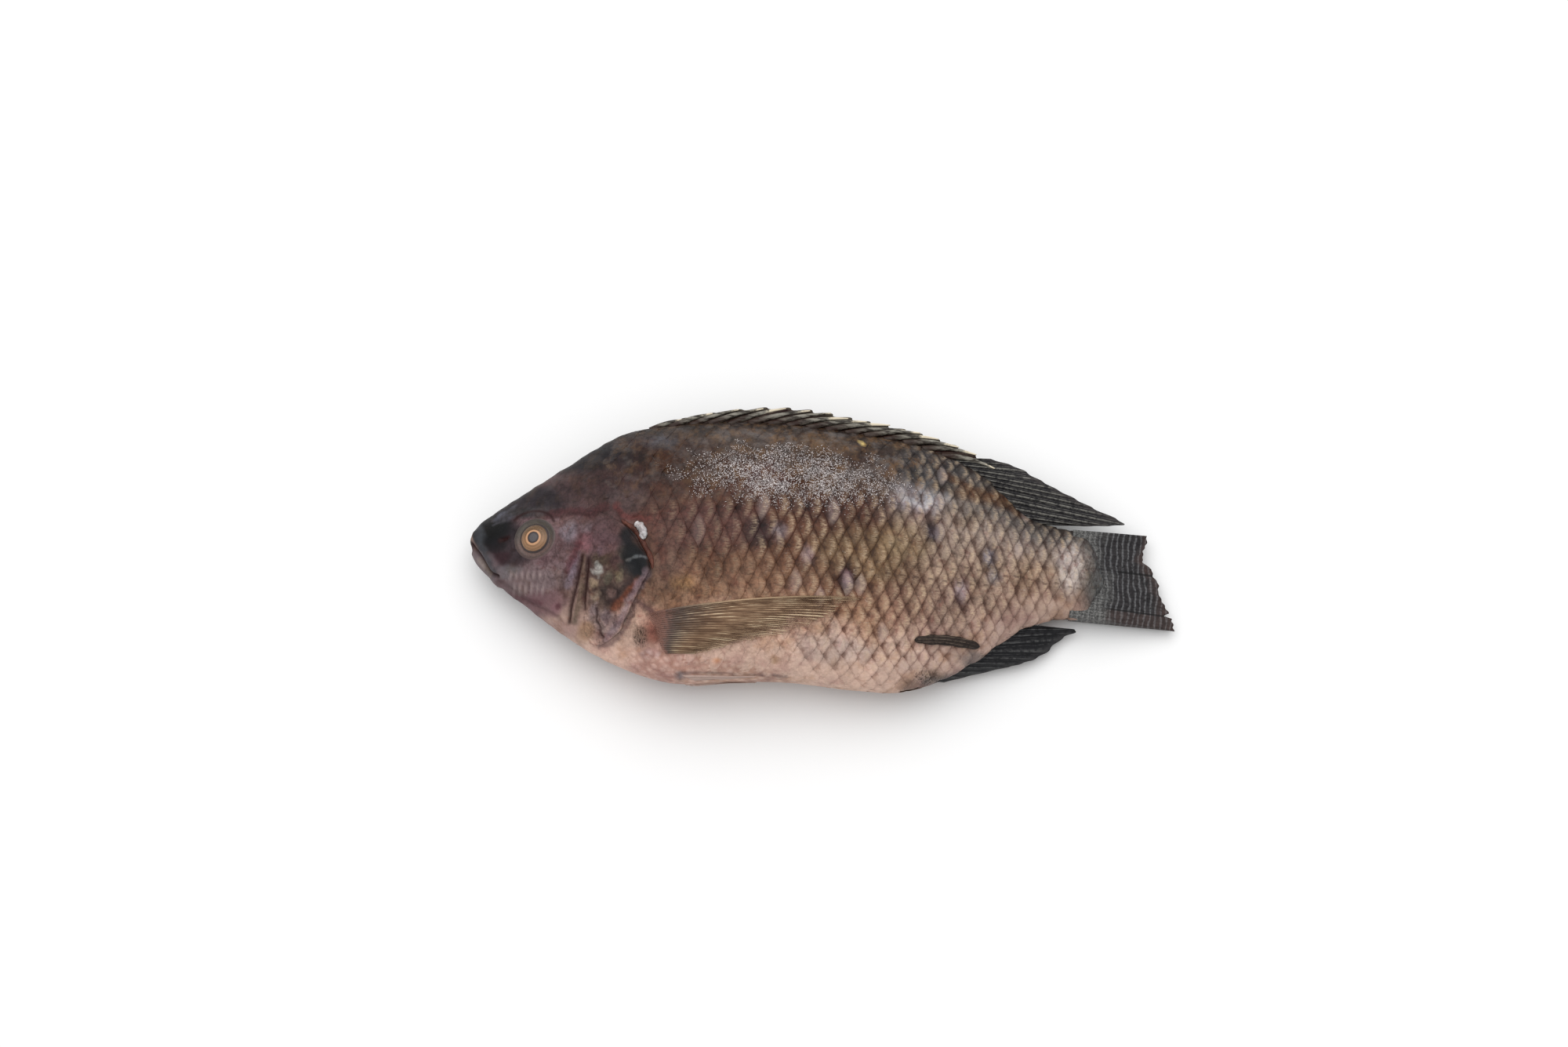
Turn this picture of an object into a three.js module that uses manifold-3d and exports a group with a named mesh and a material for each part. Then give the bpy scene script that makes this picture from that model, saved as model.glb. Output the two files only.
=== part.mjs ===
// A whole raw fish, lying on its right flank with its fins folded: one solid.
//
// Frame: X runs along the fish, snout at -X and tail at +X. Y runs from the belly to the back. Z is up.
// The origin is the middle of the flat spot on the right flank that the fish rests on. Millimetres.
// Along the fish, every place below is a distance from the snout, which `at` turns into X.
import * as THREE from 'three';
import { mergeVertices } from 'three/addons/utils/BufferGeometryUtils.js';
import Module from 'manifold-3d';

const wasm = await Module();
wasm.setup();

// ---- Driving dimensions -------------------------------------------------------------------------

const SNOUT_TO_ORIGIN = 112;
const FLESH_END = 244; // the flesh ends here, inside the root of the tail fin
const SNOUT_ROUNDING = 5; // length of the blunt round snout
const STUMP_ROUNDING = 14; // length over which the flesh closes at the tail
const QUARTER = Math.PI / 2;
const LEFT = 1; // the flank that faces up
const RIGHT = -1; // the flank that the fish rests on

const SCALE_LIFT = 0.65; // how far a scale's rear edge stands off the skin
const SCALE_CREST = 0.74; // where along a scale it stands highest
const GILL_STEP = 1.8; // thickness of the gill cover's free rear edge
const EMBED = 1.6; // how deep a thing on the skin reaches below it
const FIN_INSET = 2.5; // how deep a standing fin is rooted in the back or the belly
const WEB_THICKNESS = 0.45; // of a standing fin's web, as a share of its rays
const WEB_LIFT = 0.6; // of a lying fin's web, as a share of how far its rays stand off the skin

const EYE = { x: 26.3, y: -3.6, radius: 5.4, bulge: 1.7, rim: 7.3, rimThick: 0.9 };
const MOUTH = [[-1.5, 0], [2.5, -6], [4.9, -8.9], [7.6, -12.6], [11.6, -16.4]];
const MOUTH_GAP = 0.7;
const LIP = { radius: 1.35, setBack: 1.1 };
const CHEEK_RIDGE = { path: [[45.4, -7], [44.2, -16], [42.8, -26], [40.6, -31.5], [36, -30.5]], radius: 1.1 };
const SCRAP = { path: [[171, -33.2], [183, -31.8], [196, -32]], radius: 1.7 };
const TAIL = { root: 232, rootHalf: 16.6, rimHalf: 18.2 };
const SPINY_ROOT = [66, 178]; // first and last root of the spiny fin, and so on
const SOFT_ROOT = [176, 212];
const ANAL_ROOT = [176, 212];

const SPINES = 16;
const SOFT_RAYS = 12;
const ANAL_RAYS = 11;
const TAIL_RAYS = 16;
const PECTORAL_RAYS = 13;
const PELVIC_RAYS = 6;

// ---- Curves -------------------------------------------------------------------------------------

// A smooth curve through [place, value] stations: cubic pieces whose slope at each station is the mean
// of the chords on both sides, weighted towards the nearer one.
function curve(stations) {
  const last = stations.length - 1;
  const chord = (i) => (stations[i + 1][1] - stations[i][1]) / (stations[i + 1][0] - stations[i][0]);
  const slopes = stations.map(([place], i) => {
    if (i === 0 || i === last) {
      return chord(Math.min(i, last - 1));
    }
    const before = place - stations[i - 1][0];
    const after = stations[i + 1][0] - place;
    return (chord(i - 1) * after + chord(i) * before) / (before + after);
  });
  return (place) => {
    const held = THREE.MathUtils.clamp(place, stations[0][0], stations[last][0]);
    const next = stations.findIndex(([end], i) => i > 0 && held <= end);
    const [from, low] = stations[next - 1];
    const [to, high] = stations[next];
    const span = to - from;
    const t = (held - from) / span;
    const rise = (3 - 2 * t) * t * t;
    const leave = t * (1 - t) ** 2 * span * slopes[next - 1];
    const arrive = t * t * (t - 1) * span * slopes[next];
    return low + (high - low) * rise + leave + arrive;
  };
}

// A point at the share t along a list of points, as a smooth curve through them.
function route(points) {
  const path = new THREE.CatmullRomCurve3(points.map((p) => new THREE.Vector3(p[0], p[1], p[2] ?? 0)));
  return (t) => path.getPoint(t);
}

const mix = THREE.MathUtils.lerp;
const at = (place) => place - SNOUT_TO_ORIGIN;

// ---- The body: five curves along the fish give its section at any place -------------------------

const back = curve([
  [0, 3], [11, 11.2], [34, 28], [57, 43.2], [73, 47], [110, 50.4], [145, 49], [172, 45.6],
  [196, 35.5], [213, 21], [224, 18.3], [244, 18.2],
]);
const belly = curve([
  [0, -6], [8.7, -15.5], [26, -28.5], [58, -47.2], [80, -53.2], [105, -51.2], [125, -50.4],
  [150, -51.6], [168, -50.8], [194, -38], [212, -23.5], [222, -18.8], [244, -18],
]);
// Height in Y at which the section is thickest.
const thickest = curve([[0, -1.5], [20, -3], [50, -5], [75, -2], [120, 5], [180, 2], [244, -2]]);
// Half of the thickness there.
const halfThick = curve([
  [0, 4.5], [8, 8.5], [20, 13], [45, 19.5], [66, 22.5], [90, 23.5], [120, 23], [160, 18.5],
  [190, 13.5], [215, 10], [244, 6],
]);
// Height in Z of the middle plane: the tail end sags towards the surface that the fish lies on.
const middle = curve([[0, 13], [40, 17], [80, 19.5], [130, 19], [180, 14], [240, 8], [272, 3.6]]);
// How sharp the section is at the back and at the belly: 1 is an ellipse, more is a sharper edge.
const backEdge = curve([[0, 1], [40, 1.15], [70, 1.35], [180, 1.45], [244, 1.1]]);
const bellyEdge = curve([[0, 1], [40, 1.1], [80, 0.85], [170, 0.95], [244, 1.1]]);

// The section at a place: its lowest and highest Y, its widest Y, half its thickness.
function section(x) {
  const snout = Math.sqrt(1 - (1 - Math.min(x / SNOUT_ROUNDING, 1)) ** 2);
  const past = Math.max(x - FLESH_END + STUMP_ROUNDING, 0) / STUMP_ROUNDING;
  const swell = snout * Math.sqrt(Math.max(1 - past ** 2, 0));
  const wide = thickest(x);
  return {
    wide,
    above: (back(x) - wide) * swell,
    below: (wide - belly(x)) * swell,
    half: halfThick(x) * swell,
  };
}

// A point of the skin. `turn` runs from -90 degrees at the belly to 90 at the back, `side` is the flank.
function skin(x, turn, side) {
  const { wide, above, below, half } = section(x);
  const reach = turn > 0 ? above : below;
  const edge = turn > 0 ? backEdge(x) : bellyEdge(x);
  const thick = half * Math.max(Math.cos(turn), 0) ** edge;
  return new THREE.Vector3(at(x), wide + reach * Math.sin(turn), middle(x) + side * thick);
}

// The skin's outward direction, square to its slopes along the fish and around it.
function outward(x, turn, side) {
  const step = 0.02;
  const along = skin(x + step, turn, side).sub(skin(x - step, turn, side));
  const around = skin(x, turn + step, side).sub(skin(x, turn - step, side));
  return along.cross(around).multiplyScalar(side).normalize();
}

const offSkin = (x, turn, side, lift) => skin(x, turn, side).addScaledVector(outward(x, turn, side), lift);

// The turn at which the skin reaches the height y.
function turnAt(x, y) {
  const { wide, above, below } = section(x);
  const share = (y - wide) / (y > wide ? above : below);
  return Math.asin(THREE.MathUtils.clamp(share, -1, 1));
}

const onSkin = (x, y, side, lift) => offSkin(x, turnAt(x, y), side, lift);

// ---- Solids -------------------------------------------------------------------------------------

// A closed solid from points and triangles, turned right side out.
function solid(points, faces) {
  const geometry = new THREE.BufferGeometry().setFromPoints(points);
  geometry.setIndex(faces.flat());
  return fromGeometry(geometry);
}

function fromGeometry(shape) {
  shape.deleteAttribute('normal');
  shape.deleteAttribute('uv');
  const merged = mergeVertices(shape, 1e-4);
  const corners = merged.getIndex().array;
  const places = merged.getAttribute('position');
  const [a, b, c] = [new THREE.Vector3(), new THREE.Vector3(), new THREE.Vector3()];
  const faces = [];
  let volume = 0;
  for (let i = 0; i < corners.length; i += 3) {
    const [first, second, third] = corners.slice(i, i + 3);
    if (first !== second && second !== third && third !== first) {
      a.fromBufferAttribute(places, first);
      b.fromBufferAttribute(places, second);
      c.fromBufferAttribute(places, third);
      volume += a.dot(b.cross(c));
      faces.push([first, second, third]);
    }
  }
  const outside = volume > 0 ? faces : faces.map(([first, second, third]) => [first, third, second]);
  return new wasm.Manifold(new wasm.Mesh({
    numProp: 3,
    vertProperties: Float32Array.from(places.array),
    triVerts: Uint32Array.from(outside.flat()),
  }));
}

// The solid between two sheets. `sheets(u, v, i)` gives a point of the upper sheet and the one below it;
// u runs over `lines` lines, i is the line's number, and v runs over `steps` steps along each line.
function slab(lines, steps, sheets) {
  const points = [];
  for (let i = 0; i < lines; i += 1) {
    for (let j = 0; j <= steps; j += 1) {
      points.push(...sheets(i / (lines - 1), j / steps, i));
    }
  }
  const upper = (i, j) => 2 * (i * (steps + 1) + j);
  const lower = (i, j) => upper(i, j) + 1;
  const faces = [];
  const square = (p, q, r, s) => faces.push([p, q, r], [p, r, s]);
  for (let i = 0; i + 1 < lines; i += 1) {
    for (let j = 0; j < steps; j += 1) {
      square(upper(i, j), upper(i + 1, j), upper(i + 1, j + 1), upper(i, j + 1));
      square(lower(i, j), lower(i, j + 1), lower(i + 1, j + 1), lower(i + 1, j));
    }
    square(upper(i, 0), lower(i, 0), lower(i + 1, 0), upper(i + 1, 0));
    square(upper(i + 1, steps), lower(i + 1, steps), lower(i, steps), upper(i, steps));
  }
  for (let j = 0; j < steps; j += 1) {
    square(upper(0, j + 1), lower(0, j + 1), lower(0, j), upper(0, j));
    square(upper(lines - 1, j), lower(lines - 1, j), lower(lines - 1, j + 1), upper(lines - 1, j + 1));
  }
  return solid(points, faces);
}

// A rounded ridge along a path over the skin, pointed at both ends.
function ridge(path, side, radius, stations = 9, sides = 6) {
  const points = [];
  for (let i = 0; i <= stations; i += 1) {
    const t = i / stations;
    const here = path(t);
    const ahead = path(Math.min(t + 0.02, 1)).sub(path(Math.max(t - 0.02, 0)));
    const out = outward(here.x, turnAt(here.x, here.y), side);
    const across = new THREE.Vector3(ahead.x, ahead.y, 0).cross(out).normalize();
    const swell = radius * Math.sqrt(Math.max(1 - (2 * t - 1) ** 4, 0));
    for (let k = 0; k < sides; k += 1) {
      const angle = 2 * Math.PI * k / sides;
      const point = onSkin(here.x, here.y, side, 0);
      point.addScaledVector(across, swell * Math.cos(angle));
      points.push(point.addScaledVector(out, swell * Math.sin(angle)));
    }
  }
  const faces = [];
  for (let i = 0; i < stations; i += 1) {
    for (let k = 0; k < sides; k += 1) {
      const here = i * sides + k;
      const beside = i * sides + (k + 1) % sides;
      faces.push([here, beside, beside + sides], [here, beside + sides, here + sides]);
    }
  }
  return solid(points, faces);
}

// ---- Trunk and head: one closed skin whose net is the pattern of the scales ----------------------

// Distance from one scale to the next in its row, and from one row to the next, along the fish.
const scaleLength = curve([
  [0, 1.6], [8, 5], [40, 8.4], [60, 7.7], [100, 6.8], [135, 6.4], [165, 5.6], [190, 5.1], [244, 4.7],
]);
const MOST_ROWS = 15; // up or down from the widest line, more than any place has
const rowHeight = curve([
  [0, 2.4], [10, 4.2], [40, 7.6], [60, 8.6], [110, 8.1], [150, 7.1], [190, 6], [244, 5.2],
]);
// Where the scales begin, behind the gill cover and the nape, for each height y.
const firstScale = curve([[-53, 60], [-42, 66], [-22, 75], [-12, 76], [6, 66], [20, 60], [47, 60]]);

// The turn at which the skin, followed from its widest line, has run `distance` up or down the flank.
function turnAfter(x, distance) {
  const steps = 40;
  const limit = Math.sign(distance) * QUARTER;
  let run = 0;
  let last = skin(x, 0, LEFT);
  for (let step = 1; step <= steps; step += 1) {
    const next = skin(x, limit * step / steps, LEFT);
    const piece = next.distanceTo(last);
    if (run + piece > Math.abs(distance)) {
      return limit * (step - 1 + (Math.abs(distance) - run) / piece) / steps;
    }
    run += piece;
    last = next;
  }
  return limit;
}

// The scales sit in rows, each row half a scale behind the next, so the net's corners are the front and
// rear tips of the scales. A row that runs out at the back or the belly ends on the midline there.
function bodySkin() {
  const places = [0];
  while (places.at(-1) < FLESH_END) {
    const next = places.at(-1) + scaleLength(places.at(-1)) / 2;
    places.push(Math.min(next, FLESH_END));
  }
  const lastColumn = places.length - 1;
  const points = [];
  const known = new Map();
  const corner = (column, row, side) => {
    const x = places[column];
    const turn = turnAfter(x, row * rowHeight(x));
    const atEnd = column === 0 || column === lastColumn;
    const onMidline = atEnd || Math.abs(turn) >= QUARTER;
    const edge = atEnd ? 'end' : Math.sign(turn);
    const name = onMidline ? `${column}/${edge}` : `${column}/${row}/${side}`;
    if (!known.has(name)) {
      known.set(name, points.length);
      points.push(atEnd ? skin(x, 0, side) : skin(x, turn, side));
    }
    return { index: known.get(name), onMidline };
  };
  const crest = (column, row, side) => {
    const x = mix(places[column], places[column + 2], SCALE_CREST);
    points.push(offSkin(x, turnAfter(x, row * rowHeight(x)), side, SCALE_LIFT));
    return points.length - 1;
  };
  const faces = [];
  const triangle = (...corners) => {
    if (corners.some((one) => !one.onMidline)) {
      faces.push(corners.map((one) => one.index));
    }
  };
  for (let column = 0; column + 2 <= lastColumn; column += 1) {
    for (let row = -MOST_ROWS; row <= MOST_ROWS; row += 1) {
      if ((row + column) % 2 === 0) {
        for (const side of [LEFT, RIGHT]) {
          const front = corner(column, row, side);
          const top = corner(column + 1, row + 1, side);
          const rear = corner(column + 2, row, side);
          const bottom = corner(column + 1, row - 1, side);
          const ring = side === LEFT ? [front, bottom, rear, top] : [front, top, rear, bottom];
          const whole = ring.every((one) => !one.onMidline);
          if (whole && places[column] > firstScale(points[front.index].y)) {
            const peak = { index: crest(column, row, side), onMidline: false };
            ring.forEach((one, i) => triangle(one, ring[(i + 1) % 4], peak));
          } else {
            triangle(ring[0], ring[1], ring[2]);
            triangle(ring[0], ring[2], ring[3]);
          }
        }
      }
    }
  }
  return solid(points, faces);
}

// ---- Head ---------------------------------------------------------------------------------------

// The free rear edge of the gill cover: its distance from the snout at each height y.
const gillEdge = curve([
  [-42.4, 53], [-39.8, 59.2], [-28.4, 66.8], [-21, 70.6], [-14.3, 71.7], [-6.4, 69.5], [1.8, 65.2],
  [6.5, 58],
]);

// Its front edge, hidden under the cheek.
const gillFront = curve([[-42.4, 51.5], [-36, 44], [6.5, 43.5]]);

function gillCover(side) {
  const [low, high] = [-42, 6.2];
  return slab(6, 11, (u, v) => {
    const y = mix(low, high, v);
    const x = mix(gillFront(y), gillEdge(y), u);
    const lift = GILL_STEP * u * (1 - 0.5 * (2 * v - 1) ** 2);
    return [onSkin(x, y, side, lift), onSkin(x, y, side, -EMBED)];
  });
}

function cheekRidge(side) {
  return ridge(route(CHEEK_RIDGE.path), side, CHEEK_RIDGE.radius);
}

function eyeParts(side) {
  const turn = turnAt(EYE.x, EYE.y);
  const centre = skin(EYE.x, turn, side);
  const facing = new THREE.Quaternion().setFromUnitVectors(
    new THREE.Vector3(0, 0, 1),
    outward(EYE.x, turn, side),
  );
  const ball = new THREE.SphereGeometry(EYE.radius, 18, 10);
  ball.scale(1, 1, EYE.bulge / EYE.radius);
  const rim = new THREE.TorusGeometry(EYE.rim, EYE.rimThick, 6, 24);
  return [ball, rim].map((shape) => {
    shape.applyQuaternion(facing);
    shape.translate(centre.x, centre.y, centre.z);
    return fromGeometry(shape);
  });
}

// The mouth is a slit right across the snout, and each lip a ridge along it.
function mouthSlit() {
  const line = route(MOUTH);
  const [top, bottom] = [45, -15];
  return slab(8, 1, (u, v) => {
    const here = line(u);
    const y = here.y + MOUTH_GAP * (v - 0.5);
    return [new THREE.Vector3(at(here.x), y, top), new THREE.Vector3(at(here.x), y, bottom)];
  });
}

function lips(side) {
  return [1, -1].map((sense) => {
    const onLip = ([x, y]) => [x + sense * LIP.setBack, y + sense * LIP.radius];
    return ridge(route(MOUTH.slice(1).map(onLip)), side, LIP.radius, 6);
  });
}

// ---- Fins: pleated sheets, thick along each ray and thin in the web between two rays -------------

// A fin that stands off the body in its middle plane. `root` and `rim` give the two ends of the line at
// the share t, `notch` the share of its length that a web falls short by, `thick` the half thickness of
// a ray at both of its ends.
function standingFin({ rays, steps, root, rim, notch, thick }) {
  return slab(2 * rays - 1, steps, (t, v, line) => {
    const isWeb = line % 2 === 1;
    const from = root(t);
    const point = from.clone().lerp(rim(t), v * (isWeb ? 1 - notch : 1));
    const half = mix(thick[0], thick[1], v) * (isWeb ? WEB_THICKNESS : 1);
    const up = new THREE.Vector3(0, 0, half);
    return [point.clone().add(up), point.clone().sub(up)];
  });
}

// The root of a fin on the back or the belly, a little inside the flesh.
function finRoot([first, last], edge, inset) {
  return (t) => {
    const x = mix(first, last, t);
    return new THREE.Vector3(at(x), edge(x) + inset, middle(x));
  };
}

const shifted = (points) => route(points.map(([x, y, z]) => [at(x), y, z]));

// The spines lie back, each with its tip some way behind its root and just clear of the back.
function spinyFin() {
  const reach = curve([[0, 12], [0.15, 19], [1, 20]]);
  const rise = curve([[0, 2.5], [0.15, 5.6], [0.7, 5], [1, 6.4]]);
  return standingFin({
    rays: SPINES,
    steps: 2,
    root: finRoot(SPINY_ROOT, back, -FIN_INSET),
    rim: (t) => {
      const x = mix(SPINY_ROOT[0], SPINY_ROOT[1], t) + reach(t);
      return new THREE.Vector3(at(x), back(x) + rise(t), middle(x));
    },
    notch: 0.22,
    thick: [1.2, 0.5],
  });
}

function softDorsalFin() {
  return standingFin({
    rays: SOFT_RAYS,
    steps: 4,
    root: finRoot(SOFT_ROOT, back, -FIN_INSET),
    rim: shifted([
      [197.5, 43.4, 12.5], [208.4, 40.8, 12], [217.6, 36, 11.5], [228.4, 31, 11], [239.1, 26.4, 10.5],
      [250.5, 21.4, 9.5], [240, 19.9, 9.5], [226, 19.4, 10],
    ]),
    notch: 0.03,
    thick: [1.3, 0.5],
  });
}

function analFin() {
  return standingFin({
    rays: ANAL_RAYS,
    steps: 4,
    root: finRoot(ANAL_ROOT, belly, FIN_INSET),
    rim: shifted([
      [184, -44.6, 8], [194, -41, 6.5], [206.6, -37, 5.5], [214.4, -34.6, 5], [222.3, -30.3, 4.5],
      [228.9, -23.6, 4.5], [234.4, -20.4, 4.5], [224, -20, 6],
    ]),
    notch: 0.04,
    thick: [1.3, 0.5],
  });
}

// The tail fin's ragged rear end: [y, distance from the snout], from its upper to its lower corner.
const TAIL_END = [
  [18.2, 259], [15.5, 259.3], [12.3, 257.9], [7.6, 257.8], [5.1, 261.6], [2.5, 262.2], [-0.4, 264.5],
  [-3.8, 264.3], [-7.4, 266.3], [-11.4, 268.8], [-12.8, 266.8], [-13.6, 270], [-18.2, 271.1],
];

function tailEnd(y) {
  const next = Math.max(TAIL_END.findIndex(([height]) => height <= y), 1);
  const [[highY, highX], [lowY, lowX]] = [TAIL_END[next - 1], TAIL_END[next]];
  return mix(highX, lowX, (highY - y) / (highY - lowY));
}

function tailFin() {
  return standingFin({
    rays: TAIL_RAYS,
    steps: 5,
    root: (t) => new THREE.Vector3(at(TAIL.root), TAIL.rootHalf * (1 - 2 * t), middle(TAIL.root)),
    rim: (t) => {
      const y = TAIL.rimHalf * (1 - 2 * t);
      return new THREE.Vector3(at(tailEnd(y)), y, middle(tailEnd(y)));
    },
    notch: 0.02,
    thick: [2.8, 0.7],
  });
}

// A fin that lies on the skin. `root` and `rim` are paths of [distance from the snout, y]; `arch` lifts
// the rays' middles in Y, and `lift` is how far a ray stands off the skin at both of its ends.
function lyingFin({ rays, steps, root, rim, arch, lift, side }) {
  const [rootPath, rimPath] = [route(root), route(rim)];
  return slab(2 * rays - 1, steps, (t, v, line) => {
    const isWeb = line % 2 === 1;
    const point = rootPath(t).lerp(rimPath(t), v);
    point.y += arch * (1 - t) * 4 * v * (1 - v);
    const off = mix(lift[0], lift[1], v) * (isWeb ? WEB_LIFT : 1);
    return [onSkin(point.x, point.y, side, off), onSkin(point.x, point.y, side, -EMBED)];
  });
}

function pectoralFin(side) {
  return lyingFin({
    rays: PECTORAL_RAYS,
    steps: 5,
    root: [[80, -31], [76.5, -35], [76.4, -39], [79, -43.5], [84, -46]],
    rim: [
      [154.6, -19.3], [146, -23], [134, -31], [122.3, -35.9], [107.9, -39.7], [97, -43], [90, -46],
    ],
    arch: 2,
    lift: [2.4, 1.1],
    side,
  });
}

function pelvicFin(side) {
  return lyingFin({
    rays: PELVIC_RAYS,
    steps: 4,
    root: [[86, -49.5], [88, -51.5], [90, -52.6]],
    rim: [[124, -47.4], [119, -48.8], [108, -50.6]],
    arch: 0,
    lift: [2, 1],
    side,
  });
}

// A torn scrap of dark fin that sticks to the flank.
function strayScrap() {
  return ridge(route(SCRAP.path), LEFT, SCRAP.radius);
}

// ---- The fish -----------------------------------------------------------------------------------

function floorBlock() {
  const [length, width, depth] = [400, 200, 60];
  const block = new THREE.BoxGeometry(length, width, depth);
  block.translate(0, 0, -depth / 2);
  return fromGeometry(block);
}

function fish() {
  const parts = [bodySkin(), spinyFin(), softDorsalFin(), analFin(), tailFin(), strayScrap()];
  for (const side of [LEFT, RIGHT]) {
    parts.push(gillCover(side), cheekRidge(side), ...eyeParts(side), ...lips(side));
    parts.push(pectoralFin(side), pelvicFin(side));
  }
  const whole = parts.reduce((sum, part) => sum.add(part));
  return whole.subtract(mouthSlit()).subtract(floorBlock());
}

function toGeometry(shape) {
  const mesh = shape.getMesh();
  const geometry = new THREE.BufferGeometry();
  geometry.setAttribute('position', new THREE.BufferAttribute(mesh.vertProperties, 3));
  geometry.setIndex(new THREE.BufferAttribute(mesh.triVerts, 1));
  return geometry;
}

const flesh = new THREE.MeshStandardMaterial({ color: 0x6e5a50, roughness: 0.42, metalness: 0 });
const model = new THREE.Group();
const fishMesh = new THREE.Mesh(toGeometry(fish()), flesh);
fishMesh.name = 'fish';
model.add(fishMesh);

export default model;
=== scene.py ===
import math

import bpy
import numpy as np
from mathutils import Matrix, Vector


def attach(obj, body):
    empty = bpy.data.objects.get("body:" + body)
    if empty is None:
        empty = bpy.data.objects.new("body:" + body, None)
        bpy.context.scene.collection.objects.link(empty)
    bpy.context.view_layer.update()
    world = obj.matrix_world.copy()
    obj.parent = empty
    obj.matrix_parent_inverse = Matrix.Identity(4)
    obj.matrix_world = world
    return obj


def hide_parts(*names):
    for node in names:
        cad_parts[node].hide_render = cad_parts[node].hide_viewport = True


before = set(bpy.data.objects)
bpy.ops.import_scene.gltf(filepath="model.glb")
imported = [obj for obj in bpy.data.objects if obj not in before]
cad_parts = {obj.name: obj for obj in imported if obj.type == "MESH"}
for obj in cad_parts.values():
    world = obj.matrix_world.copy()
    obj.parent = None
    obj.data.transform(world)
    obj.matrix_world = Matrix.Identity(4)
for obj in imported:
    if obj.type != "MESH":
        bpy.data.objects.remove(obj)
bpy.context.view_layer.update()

MM = 0.001
QUARTER = math.pi / 2
LEFT, RIGHT = 1, -1

# ---- Driving dimensions, as in the solid ----

SNOUT_TO_ORIGIN = 112.0
FLESH_END = 244.0
SNOUT_ROUNDING = 5.0
STUMP_ROUNDING = 14.0
OUTER_LIFT = 0.5  # how far the highest scale edge stands off the skin
PRESSED_EDGE = 1.5  # how softly the flank bends into the flat spot that it rests on
END_GAP = 0.05  # how near to the snout and the stump the skin's slope is still read
SLOPE_STEP = 0.02  # half the step, along and around, that the slope is read over

# ---- Curves ----


def curve(stations):
    """A smooth function through (place, value) stations.

    Cubic pieces; the slope at a station is the mean of the chords beside it, weighted to the nearer."""
    places, values = np.array(stations, float).T
    gaps = np.diff(places)
    chords = np.diff(values) / gaps
    slopes = np.concatenate([chords[:1], np.zeros(len(gaps) - 1), chords[-1:]])
    slopes[1:-1] = (chords[:-1] * gaps[1:] + chords[1:] * gaps[:-1]) / (gaps[:-1] + gaps[1:])

    def value(place):
        """The curve at a place, held level beyond the first and the last station."""
        held = np.clip(place, places[0], places[-1])
        piece = np.clip(np.searchsorted(places, held, side="right") - 1, 0, len(gaps) - 1)
        t = (held - places[piece]) / gaps[piece]
        rise = (3 - 2 * t) * t * t
        leave = t * (1 - t) ** 2 * gaps[piece] * slopes[piece]
        arrive = t * t * (t - 1) * gaps[piece] * slopes[piece + 1]
        return values[piece] + (values[piece + 1] - values[piece]) * rise + leave + arrive

    return value


def route(points):
    """A path through points at even shares t of 0 to 1, as one smooth curve for each coordinate."""
    shares = np.linspace(0, 1, len(points))
    parts = [curve(list(zip(shares, column))) for column in np.array(points, float).T]
    return lambda t: np.stack([part(t) for part in parts], axis=-1)


def mix(a, b, share):
    """The value the given share of the way from a to b."""
    return a + (b - a) * share


def smooth(value, low, high):
    """0 up to low, 1 from high, and an S-shaped rise between."""
    t = np.clip((value - low) / (high - low), 0, 1)
    return t * t * (3 - 2 * t)


def grid(first, second):
    """Two lists of values as two nets: the first runs down the rows, the second along the columns."""
    return np.meshgrid(first, second, indexing="ij")


def between(value, low, in_low, in_high, high):
    """0 up to low and from high, 1 between the inner two, and S-shaped on the way."""
    return smooth(value, low, in_low) * (1 - smooth(value, in_high, high))


def circle(count):
    """The angles of `count` points all round a circle."""
    return np.linspace(0, 2 * np.pi, count, endpoint=False)


def unit(vectors):
    """Each vector divided by its length."""
    return vectors / np.linalg.norm(vectors, axis=-1, keepdims=True)


# ---- The body ----

back = curve([
    (0, 3), (11, 11.2), (34, 28), (57, 43.2), (73, 47), (110, 50.4), (145, 49), (172, 45.6),
    (196, 35.5), (213, 21), (224, 18.3), (244, 18.2),
])
belly = curve([
    (0, -6), (8.7, -15.5), (26, -28.5), (58, -47.2), (80, -53.2), (105, -51.2), (125, -50.4),
    (150, -51.6), (168, -50.8), (194, -38), (212, -23.5), (222, -18.8), (244, -18),
])
thickest = curve([(0, -1.5), (20, -3), (50, -5), (75, -2), (120, 5), (180, 2), (244, -2)])
half_thick = curve([
    (0, 4.5), (8, 8.5), (20, 13), (45, 19.5), (66, 22.5), (90, 23.5), (120, 23), (160, 18.5),
    (190, 13.5), (215, 10), (244, 6),
])
middle = curve([(0, 13), (40, 17), (80, 19.5), (130, 19), (180, 14), (240, 8), (272, 3.6)])
back_edge = curve([(0, 1), (40, 1.15), (70, 1.35), (180, 1.45), (244, 1.1)])
belly_edge = curve([(0, 1), (40, 1.1), (80, 0.85), (170, 0.95), (244, 1.1)])
scale_length = curve([
    (0, 1.6), (8, 5), (40, 8.4), (60, 7.7), (100, 6.8), (135, 6.4), (165, 5.6), (190, 5.1), (244, 4.7),
])
row_height = curve([
    (0, 2.4), (10, 4.2), (40, 7.6), (60, 8.6), (110, 8.1), (150, 7.1), (190, 6), (244, 5.2),
])


def section(x):
    """The body's section at x: its widest height, its reach above and below that, half its thickness."""
    snout = np.sqrt(1 - (1 - np.clip(x / SNOUT_ROUNDING, 0, 1)) ** 2)
    past = np.clip((x - FLESH_END + STUMP_ROUNDING) / STUMP_ROUNDING, 0, 1)
    swell = snout * np.sqrt(1 - past**2)
    wide = thickest(x)
    return wide, (back(x) - wide) * swell, (wide - belly(x)) * swell, half_thick(x) * swell


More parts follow.
